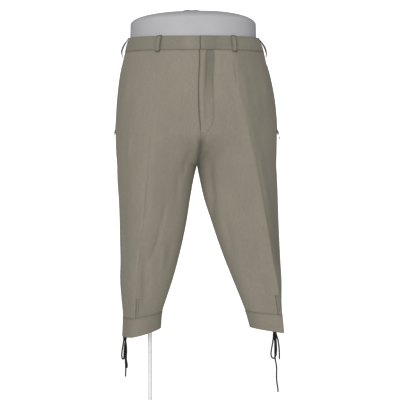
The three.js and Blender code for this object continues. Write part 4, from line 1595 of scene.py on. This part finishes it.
@dataclass
class BeltLoops:
    """The seven belt loops, each an arch over the waistband with its lower end down on the panel."""

    width: float = 11.5
    thick: float = 2.0
    top_edge: float = -0.4
    clear: float = 0.75
    rows: int = 60
    columns: int = 12
    stitch_in: float = 1.9

    PLACES = {
        "front_right": Place(RIGHT, 42.0, 3.4, -82.0, lean=-5.0),
        "front_left": Place(LEFT, 42.0, 3.4, 98.0, lean=3.0),
        "side_right": Place(RIGHT, 49.0, 7.2, turn=-26.0, sag=1.7),
        "side_left": Place(LEFT, 49.0, 4.4, turn=26.0, sag=1.7),
        "back_right": Place(RIGHT, 42.0, 3.4, -88.0, Face.BACK),
        "back_left": Place(LEFT, 42.0, 3.4, 122.0, Face.BACK),
        "back_centre": Place(LEFT, 42.0, 3.4, 19.0, Face.BACK),
    }

    def line(self, name: str, shares: np.ndarray, lift: float) -> tuple[np.ndarray, np.ndarray, np.ndarray]:
        """Gives a loop's middle line.

        Args:
            name: which loop.
            shares: shares of its length, from its top.
            lift: height over the loop's underside.

        Returns:
            The points, the outward directions and the directions across the loop.
        """
        place = self.PLACES[name]
        half = place.half
        down = self.top_edge + (place.end - self.top_edge) * shares
        t = np.full(down.shape, SIDE_SEAM)
        if place.x is not None:
            t = half.t_at(down, place.x + place.lean * (down / place.end - 0.5), place.face)
        outward = half.normal(t, down)
        across = sideways(outward)
        across /= length_of(across)
        rise = self.clear + place.arch * np.clip(np.sin(np.pi * shares**place.sag), 0, 1) ** 0.8 + lift
        twist = (math.radians(place.turn) * np.sin(np.pi * shares))[:, None]
        turned = across * np.cos(twist) + outward * np.sin(twist)
        facing = outward * np.cos(twist) - across * np.sin(twist)
        return half.point(t, down) + outward * rise[:, None], facing, turned

    def make(self, name: str, finish: bpy.types.Material) -> bpy.types.Object:
        """Makes one loop, in place of its solid."""
        shares = with_edges(spread(0, 1, self.rows), 0.022)
        middle, outward, across = self.line(name, shares, self.thick / 2)
        steps = with_edges(spread(-0.5, 0.5, self.columns), 0.085)
        cushion = 0.18 * np.cos(np.pi * steps)
        points, normals = band_of(middle, across, outward, steps * self.width)
        points = points + normals * cushion[None, :, None]
        # Painted shade: a little over the whole loop, more down one side and along the other edge, at both
        # ends, and evenly over the side loops.
        shade = 0.1 + 0.5 * smoothstep(steps, 0.1, 0.45) + 0.12 * fall(steps, -0.5, -0.3)
        ends = 0.6 * fall(shares, 0.02, 0.15) + 0.6 * smoothstep(shares, 0.88, 0.97)
        if self.PLACES[name].x is None:
            shade = 0.75 + 0 * shade
        shade = np.clip(shade[None] + ends[:, None], 0, 1)
        shell = Shell(points, normals, self.thick * 0.9, marks={"tint": shade})
        return cloth_piece(shell, "belt_loop_" + name, finish)


@dataclass
class Cuffs:
    """The cuff of each leg and the stitched tuck above it."""

    columns: int = 208
    rows: int = 18
    stand: float = 0.5
    tuck_width: float = 6.0
    tuck_length: float = 46.0
    tuck_thick: float = 0.8
    tuck_lift: float = 0.8
    tuck_place: float = 0.225
    stitch_in: float = 2.5
    stitch_lift: float = 0.15
    pinch: float = 0.8

    def make(self, half: Half, finish: bpy.types.Material) -> bpy.types.Object:
        """Makes one cuff, in place of its solid."""
        ts = np.arange(self.columns) / self.columns
        downs = with_edges(spread(CUFF_SEAM[half.name] + STITCHED_GAP, HEM[half.name], self.rows), 1.0)
        t, down = np.meshgrid(ts, downs)
        outward = half.normal(t, down)
        points = half.point(t, down)
        soft = drape_wave(points.reshape(-1, 3), 30, 0.8, 9 + half.side).reshape(t.shape)
        soft = soft * smoothstep(downs - downs[0], 0, 12)[:, None]
        pressed = self.pinch * (bell(t, FRONT_CREASE, CREASE_WIDTH) + bell(t, BACK_CREASE, CREASE_WIDTH))
        points = points + outward * (self.stand - DOUBLE_CLOTH / 2 + soft + pressed)[..., None]
        shell = Shell(points, outward, DOUBLE_CLOTH, wrapped=True, sink=0.2, grain=Grain.ROUND)
        return cloth_piece(shell, f"cuff_{half.name}", finish, FRONT_CREASE)

    def make_tuck(self, half: Half, finish: bpy.types.Material) -> bpy.types.Object:
        """Makes the tuck: a narrow fold of cloth that dies away at its upper end."""
        end = CUFF_SEAM[half.name] - 1
        downs = with_edges(spread(end - self.tuck_length, end, 40), 1.0)
        t = np.full(downs.shape, self.tuck_place)
        outward = half.normal(t, downs)
        across = sideways(outward)
        steps = with_edges(spread(-0.5, 0.5, 10), 0.16)
        top = smoothstep(downs - downs[0], 0, 5)
        fold = 1.3 * smoothstep(steps, -0.45, 0.15) * fall(steps, 0.3, 0.5) * top[:, None]
        across = across / length_of(across)
        points, normals = band_of(half.point(t, downs), across, outward, steps * self.tuck_width)
        points = points + normals * (self.tuck_lift + fold)[..., None]
        # Painted shadow along the tuck's edge on the side where its fold rises.
        shade = np.broadcast_to(0.62 * fall(steps, -0.25, 0.05), fold.shape)
        shell = Shell(points, normals, self.tuck_thick, marks={"tint": shade})
        return cloth_piece(shell, f"tuck_{half.name}", finish)


@dataclass
class Zips:
    """The pocket zip of each side seam: two tapes, two rows of teeth, the slider and its pull."""

    top: float = 68.0
    end: float = 238.0
    width: float = 7.0
    thick: float = 0.9
    lift: float = 0.35
    bevel: float = 0.28
    teeth_apart: float = 0.55

    def strip(self, half: Half, low: float, high: float, lift: float) -> Shell:
        """Builds a tape between two distances across the zip, at a height over the cloth."""
        downs = with_edges(spread(self.top, self.end, 60), 1.0)
        middle, outward = half.above(np.full(downs.shape, SIDE_SEAM), downs, 0.0)
        across = sideways(outward)
        points, normals = band_of(
            middle, across / length_of(across), outward, with_edges(spread(low, high, 6), 1.0)
        )
        return Shell(points + normals * lift, normals, self.thick * 0.6)

    def make_tapes(self, half: Half, finish: bpy.types.Material) -> bpy.types.Object:
        """Makes both tapes as one piece, in place of the zip's solid."""
        skins = [
            self.strip(half, low, high, self.lift + self.thick * 0.3).skin(0.5)
            for low, high in ((-self.width / 2, -0.5), (0.5, self.width / 2))
        ]
        name = f"pocket_zip_{half.name}"
        return settle(Skin.joined(skins).make(name + "_tapes", finish), name, slot="zip_metal")

    def teeth(self, half: Half, finish: bpy.types.Material) -> Row:
        """Gives both rows of teeth, each half a step from the other."""
        row = Row(f"zip_teeth_{half.name}", ZIP_TEETH, finish)
        for side in (-1, 1):
            start = self.top + 1.5 + (ZIP_TEETH.pitch / 2 if side > 0 else 0)
            downs = np.arange(start, self.end - 1, 3.0)
            lift = self.lift + self.thick * 0.75
            points, outward = half.above(np.full(downs.shape, SIDE_SEAM), downs, lift)
            row.follow(points + sideways(outward) * self.teeth_apart * side, outward)
        return row

    def refine(self, node: str, body: str, finish: bpy.types.Material) -> bpy.types.Object:
        """Makes a hard part's finer copy, with its edges rounded.

        Args:
            node: the CAD node.
            body: the body that it rides on.
            finish: its metal.

        Returns:
            The piece.
        """
        work = bmesh.new()
        work.from_mesh(frame["nodes"][node].data)
        bmesh.ops.remove_doubles(work, verts=work.verts[:], dist=1e-6)
        bmesh.ops.dissolve_limit(work, angle_limit=math.radians(4), verts=work.verts[:], edges=work.edges[:])
        sharp = [e for e in work.edges if len(e.link_faces) == 2 and e.calc_face_angle(0) > math.radians(25)]
        rounding = {"offset": self.bevel * MM, "segments": 2, "profile": 0.6, "affect": "EDGES"}
        bmesh.ops.bevel(work, geom=sharp, clamp_overlap=True, **rounding)
        bmesh.ops.triangulate(work, faces=[f for f in work.faces if len(f.verts) > 4])
        mesh = bpy.data.meshes.new(node + "_fine")
        work.to_mesh(mesh)
        work.free()
        mesh.materials.append(finish)
        piece = place_object(node + "_fine", mesh)
        return settle(piece, node, slot="zip_metal", body=body)


@dataclass
class Sewing:
    """Every row of stitching that shows, gathered by thread."""

    finishes: Finishes
    band: Waistband = field(default_factory=Waistband)
    fly: Fly = field(default_factory=Fly)
    loops: BeltLoops = field(default_factory=BeltLoops)
    cuffs: Cuffs = field(default_factory=Cuffs)
    proud: float = 0.05

    def around(self, half: Half, row: Row, down: float, start: float, end: float, lift: float) -> None:
        """Adds a level line round part of one half."""
        t = spread(start, end, 240)
        row.follow(*half.above(t, np.full(t.shape, down), lift))

    def band_rows(self) -> Row:
        """Gives the waistband's stitching: round its lower edge and down its step."""
        row = Row("waistband_stitches", TOPSTITCH, self.finishes.thread, seed=11)
        for half in HALVES:
            self.around(half, row, BAND_DEPTH + 2.2, 0.004, 0.996, self.proud)
        downs = spread(3, BAND_DEPTH - 2, 20)
        x = HIPS("seam", downs) + self.band.step_at + self.band.stitch_in
        row.follow(*LEFT.above(LEFT.t_at(downs, x), downs, self.band.stand + self.proud))
        return row

    def fly_rows(self) -> Row:
        """Gives the fly's long curved stitching."""
        row = Row("fly_stitches", TOPSTITCH, self.finishes.thread, seed=3)
        downs = spread(BAND_DEPTH + 3, self.fly.end - 6, 120)
        offset = np.clip(self.fly.reach(downs) - self.fly.stitch_in, 0.5, None)
        row.follow(*self.fly.spot(downs, offset, SEAM_GAP + self.fly.thick * 0.5))
        return row

    def cuff_rows(self) -> Row:
        """Gives the stitching round each cuff, under its seam."""
        row = Row("cuff_stitches", TOPSTITCH, self.finishes.thread, seed=5)
        lift = self.cuffs.stand + self.cuffs.stitch_lift
        for half in HALVES:
            top = CUFF_SEAM[half.name] + STITCHED_GAP
            self.around(half, row, top + self.cuffs.stitch_in, 0, 1, lift)
        return row

    def loop_rows(self) -> Row:
        """Gives the two rows of stitching on each belt loop."""
        row = Row("belt_loop_stitches", TOPSTITCH, self.finishes.thread, seed=9)
        shares = spread(0.04, 0.96, 30)
        for name in self.loops.PLACES:
            middle, outward, across = self.loops.line(name, shares, self.loops.thick + 0.02)
            reach = self.loops.width / 2 - self.loops.stitch_in
            for side in (-1, 1):
                row.follow(middle + across * side * reach, outward)
        return row

    def bar_tacks(self) -> Row:
        """Gives the bar tacks: at the loops' ends, the fly's foot and the tucks' tops."""
        row = Row("bar_tacks", BAR_TACK, self.finishes.dark_thread, seed=13)
        for name in self.loops.PLACES:
            ends = np.array([0.045, 0.955])
            middle, outward, across = self.loops.line(name, ends, self.loops.thick + 0.05)
            for i in range(2):
                reach = (self.loops.width / 2 - 1.4) * spread(-1, 1, 8)
                line = middle[i] + across[i] * reach[:, None]
                row.follow(line, np.repeat(outward[i][None], len(line), 0))
        down = np.full(9, self.fly.end - 4.0)
        row.follow(*self.fly.spot(down, spread(0.5, 9, 8), SEAM_GAP + self.fly.thick * 0.6))
        for half in HALVES:
            down = np.full(9, CUFF_SEAM[half.name] - 1 - self.cuffs.tuck_length)
            row.follow(*half.above(self.cuffs.tuck_place + spread(-0.012, 0.012, 8), down, 0.9))
        return row


@dataclass
class Laces:
    """The lace of each cuff: a knot under the hem with one loop and two free ends."""

    diameter: float = 4.0
    knot_depth: float = 11.0
    knot_turns: float = 1.75
    knot_radius: float = 4.2
    strand_rise: float = 8.0
    tail_in: float = 1.6
    spacing: float = 1.1
    sides: int = 14

    PLACES = {"right": (-172.0, 18.0), "left": (206.5, 39.0)}
    ROUTES = {
        "right": {
            "loop": [
                [-2.6, 0, 0], [-4, -0.5, -10.5], [-5.6, -1, -20.5], [-7, -1.5, -29.5], [-7.7, -2, -37.5],
                [-7.6, -2, -43.5], [-6.6, -2, -48], [-4.8, -2, -50.1], [-3, -2, -48.8], [-2.1, -1.8, -44.5],
                [-1.9, -1.4, -36.5], [-1.4, -1, -26.5], [-0.2, -0.5, -14.5], [2.6, 0, 0],
            ],
            "short_end": [
                [1.2, -4.7, 0], [3.2, -5.2, -10.5], [4.2, -5, -21.5], [4.4, -4.8, -32.5], [3.8, -4.5, -42.5],
                [3.8, -4.4, -50.5], [5.1, -4.6, -58.5], [6, -5, -65.5], [5.4, -5.2, -72.5],
            ],
            "long_end": [
                [0, 4.3, 0], [1.4, 5, -14.5], [1.6, 4.8, -26.5], [1.2, 4.4, -38.5], [0.8, 4, -50.5],
                [1.2, 4, -62.5], [1.8, 4.4, -74.5], [1.5, 4.8, -85.5], [1.2, 5, -96.5],
            ],
        },
        "left": {
            "loop": [
                [-2.8, 0, 0], [-3.4, 0.4, -13], [-4.6, 0.8, -23], [-6.4, 1.2, -34], [-8.3, 1.4, -45],
                [-9.2, 1.4, -53], [-8.9, 1.2, -59], [-6.8, 0.8, -63.6], [-3.6, 0.4, -65.6], [0, 0, -64.4],
                [2.6, -0.4, -60], [3.9, -0.6, -53], [4.5, -0.7, -45], [4.3, -0.6, -35], [3.6, -0.3, -25],
                [2.9, 0, -15], [2.6, 0, 0],
            ],
            "short_end": [
                [2.6, -4.7, 0], [5.2, -5, -9.5], [7.6, -5.4, -17], [9.4, -5.8, -27], [10.7, -6, -38],
                [11.3, -6, -48], [11.5, -5.8, -57], [11.4, -5.6, -68],
            ],
            "long_end": [
                [0, 4.4, 0], [0.4, 5, -15], [0.8, 5.4, -27], [1, 5.4, -39], [1, 5, -51], [1.2, 4.6, -62],
                [2.2, 4.4, -72], [4.2, 4.4, -82], [5.4, 4.6, -93], [5, 4.8, -106], [5.2, 4.8, -119],
                [6.6, 4.6, -132], [8.4, 4.4, -143], [8.8, 4.4, -153],
            ],
        },
    }
    LENGTHS = {
        "right": {"loop": 0.105, "short_end": 0.073, "long_end": 0.097},
        "left": {"loop": 0.138, "short_end": 0.069, "long_end": 0.154},
    }

    def knot_bottom(self, half: Half) -> np.ndarray:
        """Gives the middle of the knot's underside."""
        x, y = self.PLACES[half.name]
        down = np.array([float(HEM[half.name])])
        t = 0.5 + 0.25 * np.arcsin(y / half.leg("back", down)) / (np.pi / 2)
        hem = half.point(t, down)[0, 2]
        return np.array([x, y, hem - 1.8 * SEAM_GAP - self.knot_depth])

    def tube(self, line: np.ndarray, radius: np.ndarray) -> Skin:
        """Sweeps a round section along a line, closed at both ends.

        Args:
            line: the points of its middle.
            radius: its radius at each point.

        Returns:
            The lace's surface, with coordinates round and along it.
        """
        tangents = np.gradient(line, axis=0)
        tangents /= length_of(tangents)
        side = np.cross(tangents[0], [0.0, 1.0, 0.2])
        angles = np.arange(self.sides) / self.sides * 2 * np.pi
        rings = []
        for point, tangent, r in zip(line, tangents, radius):
            side = side - tangent * (side @ tangent)
            side = side / np.linalg.norm(side)
            other = np.cross(tangent, side)
            rings.append(point + r * (np.cos(angles)[:, None] * side + np.sin(angles)[:, None] * other))
        points = np.concatenate(rings)
        faces = grid_faces(len(line), self.sides, True, 0, False)
        middle = len(points)
        points = np.concatenate([points, line[:1], line[-1:]])
        last = (len(line) - 1) * self.sides
        caps = [fan(0, self.sides, middle), fan(last, self.sides, middle + 1)[:, [1, 0, 2, 3]]]
        along = np.concatenate([[0], np.cumsum(length_of(np.diff(line, axis=0))[:, 0])])
        u, v = np.meshgrid(angles * self.diameter / 2, along)
        uv = np.stack([u, v], -1).reshape(-1, 2) * MM
        uv = np.concatenate([uv, [[0, 0], [0, along[-1] * MM]]])
        return Skin(points, ends_outward(points, np.concatenate([faces, *caps])), uv)

    def ends(self, line: np.ndarray, cut: bool) -> np.ndarray:
        """Gives the lace's radius along a line, with its far end rounded where it is cut."""
        radius = np.full(len(line), self.diameter / 2)
        radius[-3:] *= np.array([0.94, 0.75, 0.35]) if cut else 1
        return radius

    def make_strand(self, half: Half, part: str, finish: bpy.types.Material) -> bpy.types.Object:
        top = self.knot_bottom(half) - [0, 0, 2 * SEAM_GAP]
        line = smooth_route(np.array(self.ROUTES[half.name][part]) + top, self.spacing)
        line[0, 2] += self.tail_in
        if part == "loop":
            line[-1, 2] += self.tail_in
        node = f"lace_{part}_{half.name}"
        piece = self.tube(line, self.ends(line, part != "loop")).make(node + "_braid", finish)
        settle(piece, node, slot="leather")
        return piece

    def make_knot(self, half: Half, finish: bpy.types.Material) -> bpy.types.Object:
        """Makes the knot: turns of lace round its strands, which go up inside the hem."""
        bottom = self.knot_bottom(half)
        turns = spread(0, 1, 60)
        angle = turns * self.knot_turns * 2 * np.pi
        inset = 1 - 0.25 * (2 * turns - 1) ** 4
        low, high = self.diameter / 2, self.knot_depth - self.diameter / 2
        coil = np.stack(
            [
                self.knot_radius * inset * np.cos(angle),
                0.85 * self.knot_radius * inset * np.sin(angle),
                low + (high - low) * turns,
            ],
            -1,
        )
        rise = self.knot_depth + self.strand_rise
        route = [(1.2, 0, 1.2), (1.5, 0.6, 6), (1.6, 0.6, rise - 4), (1.4, 0.6, rise)]
        strands = [smooth_route([(side * x, y, z) for x, y, z in route], 1.2) for side in (-1, 1)]
        skins = [self.tube(line + bottom, self.ends(line, True)) for line in (coil, *strands)]
        node = f"lace_knot_{half.name}"
        return settle(Skin.joined(skins).make(node + "_braid", finish), node, slot="leather")


@dataclass
class Turned:
    """A round part: its outline from the axis outwards and back, in radius and height."""

    name: str
    slot: str
    outline: tuple[tuple[float, float], ...]
    place: tuple[float, float, float]
    finish: bpy.types.Material
    sides: int = 96

    def make(self) -> bpy.types.Object:
        """Makes the part, in place of the solid of its name."""
        work = bmesh.new()
        last = len(self.outline) - 1
        corners = [work.verts.new((r * MM, 0, z * MM)) for r, z in self.outline]
        edges = [work.edges.new((corners[i], corners[i + 1])) for i in range(last)]
        turning = {"axis": (0, 0, 1), "cent": (0, 0, 0), "angle": 2 * math.pi, "steps": self.sides}
        bmesh.ops.spin(work, geom=corners + edges, **turning)
        bmesh.ops.remove_doubles(work, verts=work.verts[:], dist=1e-6)
        bmesh.ops.recalc_face_normals(work, faces=work.faces[:])
        bmesh.ops.translate(work, verts=work.verts[:], vec=Vector(self.place) * MM)
        mesh = bpy.data.meshes.new(self.name + "_turned")
        work.to_mesh(mesh)
        work.free()
        mesh.materials.append(self.finish)
        mesh.polygons.foreach_set("use_smooth", [True] * len(mesh.polygons))
        mesh.set_sharp_from_angle(angle=math.radians(50))
        piece = place_object(self.name + "_turned", mesh)
        return settle(piece, self.name, slot=self.slot)


def rounded(radius: float, height: float, edge: float, foot: float = 0.4) -> tuple[tuple[float, float], ...]:
    """Gives the outline of a disc with rounded edges.

    Args:
        radius: the disc's radius.
        height: its height.
        edge: the rounding of its upper edge.
        foot: the rounding of its lower edge.

    Returns:
        Points in radius and height, from the axis at the bottom to the axis at the top.
    """
    turn = spread(0, math.pi / 2, 6)
    low = [(radius - foot + foot * math.sin(a), foot - foot * math.cos(a)) for a in turn]
    high = [(radius - edge + edge * math.cos(a), height - edge + edge * math.sin(a)) for a in turn]
    return ((0, 0), *low, *high, (0, height))


@dataclass
class DressForm:
    """The limbless dress form, its cap and its stand."""

    shoulder: float = 1036.0
    bottom: float = 722.0
    dome_rise: float = 32.0
    dome_end: float = 84.0
    columns: int = 160
    crown_rings: tuple[float, ...] = (0.3, 0.65)
    underside_rings: tuple[float, ...] = (0.98, 0.8, 0.55, 0.3)
    cap: tuple[float, float, float] = (-4.0, 25.0, 3.4)
    stud: tuple[float, float] = (6.5, 3.4)
    rod: tuple[float, float, float] = (-110.0, 35.0, 5.5)
    flange: tuple[float, float] = (18.0, 6.0)
    base: tuple[float, float] = (180.0, 8.0)

    SECTIONS = SmoothTable(
        ["down", "half", "front", "back"],
        [
            [0, 156.6, -110, 105],
            [31, 157.3, -113, 108.3],
            [68, 160.5, -116, 112],
            [116, 166, -120, 120],
            [176, 173, -122, 131],
            [236, 177, -117, 135],
            [274, 176, -108, 130],
            [294, 172, -100, 122],
            [306, 164, -90, 110],
            [314, 149, -76, 94],
        ],
    )

    def ring(self, down: float, scale: float = 1.0, lift: float = 0.0) -> np.ndarray:
        """Gives one ring of the form's section, drawn smaller by a scale and lifted."""
        angle = np.arange(self.columns) / self.columns * 2 * np.pi
        c, s = np.cos(angle), np.sin(angle)
        seam = HIPS("seam", max(0, down + WAIST_HEIGHT - self.shoulder))
        reach = self.SECTIONS("half", down) - np.sign(c) * seam
        depth = np.where(s < 0, -self.SECTIONS("front", down), self.SECTIONS("back", down))
        x = seam + scale * np.sign(c) * reach * np.abs(c) ** (2 / HIP_SIDE_POWER)
        y = scale * np.sign(s) * depth * np.abs(s) ** (2 / HIP_FRONT_POWER)
        return np.stack([x, y, np.full_like(x, self.shoulder - down + lift)], -1)

    def make_body(self, finish: bpy.types.Material) -> bpy.types.Object:
        """Makes the form's smooth body, in place of its solid."""
        dome = np.radians(spread(self.dome_end, 0, 40))
        flat, high = math.cos(dome[0]), self.dome_rise * math.sin(dome[0])
        rings = [self.ring(0, flat * share, high) for share in self.crown_rings]
        rings += [self.ring(0, math.cos(angle), self.dome_rise * math.sin(angle)) for angle in dome]
        deep = self.shoulder - self.bottom
        rings += [self.ring(down) for down in spread(0, deep, 70)[1:]]
        rings += [self.ring(deep, share) for share in self.underside_rings]
        points = np.concatenate(rings)
        faces = grid_faces(len(rings), self.columns, True, 0, False)
        top, low = rings[0].mean(0), rings[-1].mean(0)
        last = (len(rings) - 1) * self.columns
        count = len(points)
        caps = [fan(0, self.columns, count)[:, [1, 0, 2, 3]], fan(last, self.columns, count + 1)]
        points = np.concatenate([points, top[None], low[None]])
        faces = ends_outward(points, np.concatenate([faces, *caps]))
        skin = Skin(points, faces, points[:, [0, 2]] * MM)
        return settle(skin.make("dress_form_cover", finish), "dress_form", slot="form_shell")

    def make(self, finishes: Finishes) -> None:
        """Makes the form, its cap and its stand."""
        self.make_body(finishes.form)
        x, radius, height = self.cap
        crown = self.shoulder + self.dome_rise
        rod_x, rod_y, rod_radius = self.rod
        flange_radius, flange_height = self.flange
        base_radius, base_height = self.base
        foot = self.bottom - flange_height
        flange = rounded(flange_radius, flange_height, 1.2)
        rod = rounded(rod_radius, foot - base_height, 0.5)
        stud = rounded(*self.stud, 0.6, 0.1)
        base = rounded(base_radius, base_height, 2.0, 0.6)
        black, bright, white = finishes.black_steel, finishes.bright_steel, finishes.white_steel
        parts = (
            Turned("form_cap", "black_steel", rounded(radius, height, 1.0), (x, 0, crown), black),
            Turned("form_cap_stud", "bright_steel", stud, (x, 0, crown + height), bright, 48),
            Turned("stand_flange", "white_steel", flange, (rod_x, rod_y, foot), white, 64),
            Turned("stand_rod", "white_steel", rod, (rod_x, rod_y, base_height), white, 48),
            Turned("stand_base", "white_steel", base, (0, 0, 0), white, 160),
        )
        for part in parts:
            part.make()


@dataclass
class Studio:
    """The camera, the lights and the pale floor with its backdrop."""

    camera: tuple[float, float, float] = (0.017, -2.6, 0.6)
    lens: float = 93.6
    sensor: float = 36.0
    aim: tuple[float, float, float] = (0.0, 0.0, 0.62)
    sweep_start: float = 5.0
    sweep_radius: float = 1.4
    reach: float = 9.0

    LIGHTS = {
        "key_light": ((-1.0, -3.4, 0.6), 1.3, 53),
        "fill_light": ((1.5, -3.1, 0.4), 1.6, 16),
        "top_light": ((0.0, -1.0, 2.7), 1.2, 7),
    }

    def make_camera(self) -> None:
        """Sets the camera at the photo's place, level with the thighs."""
        data = bpy.data.cameras.new("camera")
        data.lens = self.lens
        data.sensor_width = self.sensor
        obj = place_object("camera", data)
        obj.location = self.camera
        obj.rotation_euler = (math.pi / 2, 0, 0)
        bpy.context.scene.camera = obj

    def make_light(self, name: str, place: tuple[float, float, float], size: float, power: float) -> None:
        """Adds a soft square light that faces the garment."""
        data = bpy.data.lights.new(name, "AREA")
        data.size = size
        data.energy = power
        obj = place_object(name, data)
        obj.location = place
        aim = Vector(self.aim) - obj.location
        obj.rotation_euler = aim.to_track_quat("-Z", "Y").to_euler()

    def make_stage(self, finish: bpy.types.Material) -> None:
        """Makes the floor, which curves up into the backdrop far behind."""
        start, radius = self.sweep_start, self.sweep_radius
        turn = spread(0, math.pi / 2, 24)
        bend = [(start + radius * math.sin(a), radius * (1 - math.cos(a))) for a in turn]
        outline = [(-self.reach, 0.0), *bend, (start + radius, self.reach)]
        points = [(side * self.reach, y, z) for y, z in outline for side in (-1, 1)]
        faces = [(2 * i, 2 * i + 1, 2 * i + 3, 2 * i + 2) for i in range(len(outline) - 1)]
        mesh = bpy.data.meshes.new("stage_sweep")
        mesh.from_pydata(points, [], faces)
        mesh.materials.append(finish)
        mesh.polygons.foreach_set("use_smooth", [True] * len(mesh.polygons))
        stage = place_object("stage_sweep", mesh)
        stage.visible_diffuse = False
        stage.visible_glossy = False

    def make_world(self, before: float, behind: float) -> None:
        """Fills the room with soft white light, brighter before the garment than behind it."""
        world = bpy.data.worlds.new("studio_air")
        world.use_nodes = True
        air = Nodes(world.node_tree)
        place = air.add("ShaderNodeTexCoord")
        depth = air.add("ShaderNodeSeparateXYZ", {0: place.outputs["Generated"]}).outputs[1]
        ranges = {"Value": depth, "From Min": -0.9, "From Max": 0.9, "To Min": before, "To Max": behind}
        level = air.add("ShaderNodeMapRange", ranges)
        shade = air.tree.nodes["Background"]
        air.join((1, 1, 1, 1), shade.inputs["Color"])
        air.join(level.outputs["Result"], shade.inputs["Strength"])
        bpy.context.scene.world = world

    def make(self, finishes: Finishes) -> None:
        """Builds the stage and lights it."""
        bpy.context.scene.view_settings.view_transform = "Standard"
        self.make_stage(finishes.stage)
        self.make_world(0.8, 0.2)
        for name, (place, size, power) in self.LIGHTS.items():
            self.make_light(name, place, size, power)


@dataclass
class Cut:
    """The flat cloth that a piece was cut from: its width and length in metres, and the area of its shape."""

    width: float
    length: float
    area: float
    held: str
    rests_on: tuple[str, ...]


def main() -> None:
    """Builds every piece in order and reports each one."""
    logging.basicConfig(level=logging.INFO, format="%(message)s")
    studio = Studio()
    studio.make_camera()
    finishes = Finishes()
    laces, zips, cuffs, band = Laces(), Zips(), Cuffs(), Waistband()
    for half in HALVES:
        laces.make_knot(half, finishes.lace)
        for part in laces.ROUTES[half.name]:
            laces.make_strand(half, part, finishes.lace)
    for half in HALVES:
        leg = Leg(half)
        for face in Face:
            leg.make(face, finishes.wool)
        band.make(half, finishes.wool)
        cuffs.make(half, finishes.wool)
        cuffs.make_tuck(half, finishes.wool)
        zips.make_tapes(half, finishes.tape)
        zips.refine(f"zip_slider_{half.name}", CLOTH_BODY, finishes.zip_metal)
        zips.refine(f"zip_pull_{half.name}", f"pull_{half.name}", finishes.zip_metal)
    Fly().make(finishes.wool)
    for name in BeltLoops.PLACES:
        BeltLoops().make(name, finishes.wool)
    trees = {bit: RowTree(bit) for bit in Bit}
    sewing = Sewing(finishes)
    rows = [sewing.band_rows(), sewing.fly_rows(), sewing.cuff_rows(), sewing.loop_rows(), sewing.bar_tacks()]
    rows += [zips.teeth(half, finishes.zip_metal) for half in HALVES]
    for row in rows:
        settle(row.make(trees), body=row.body)
    DressForm().make(finishes)
    studio.make(finishes)


if __name__ == "__main__":
    main()
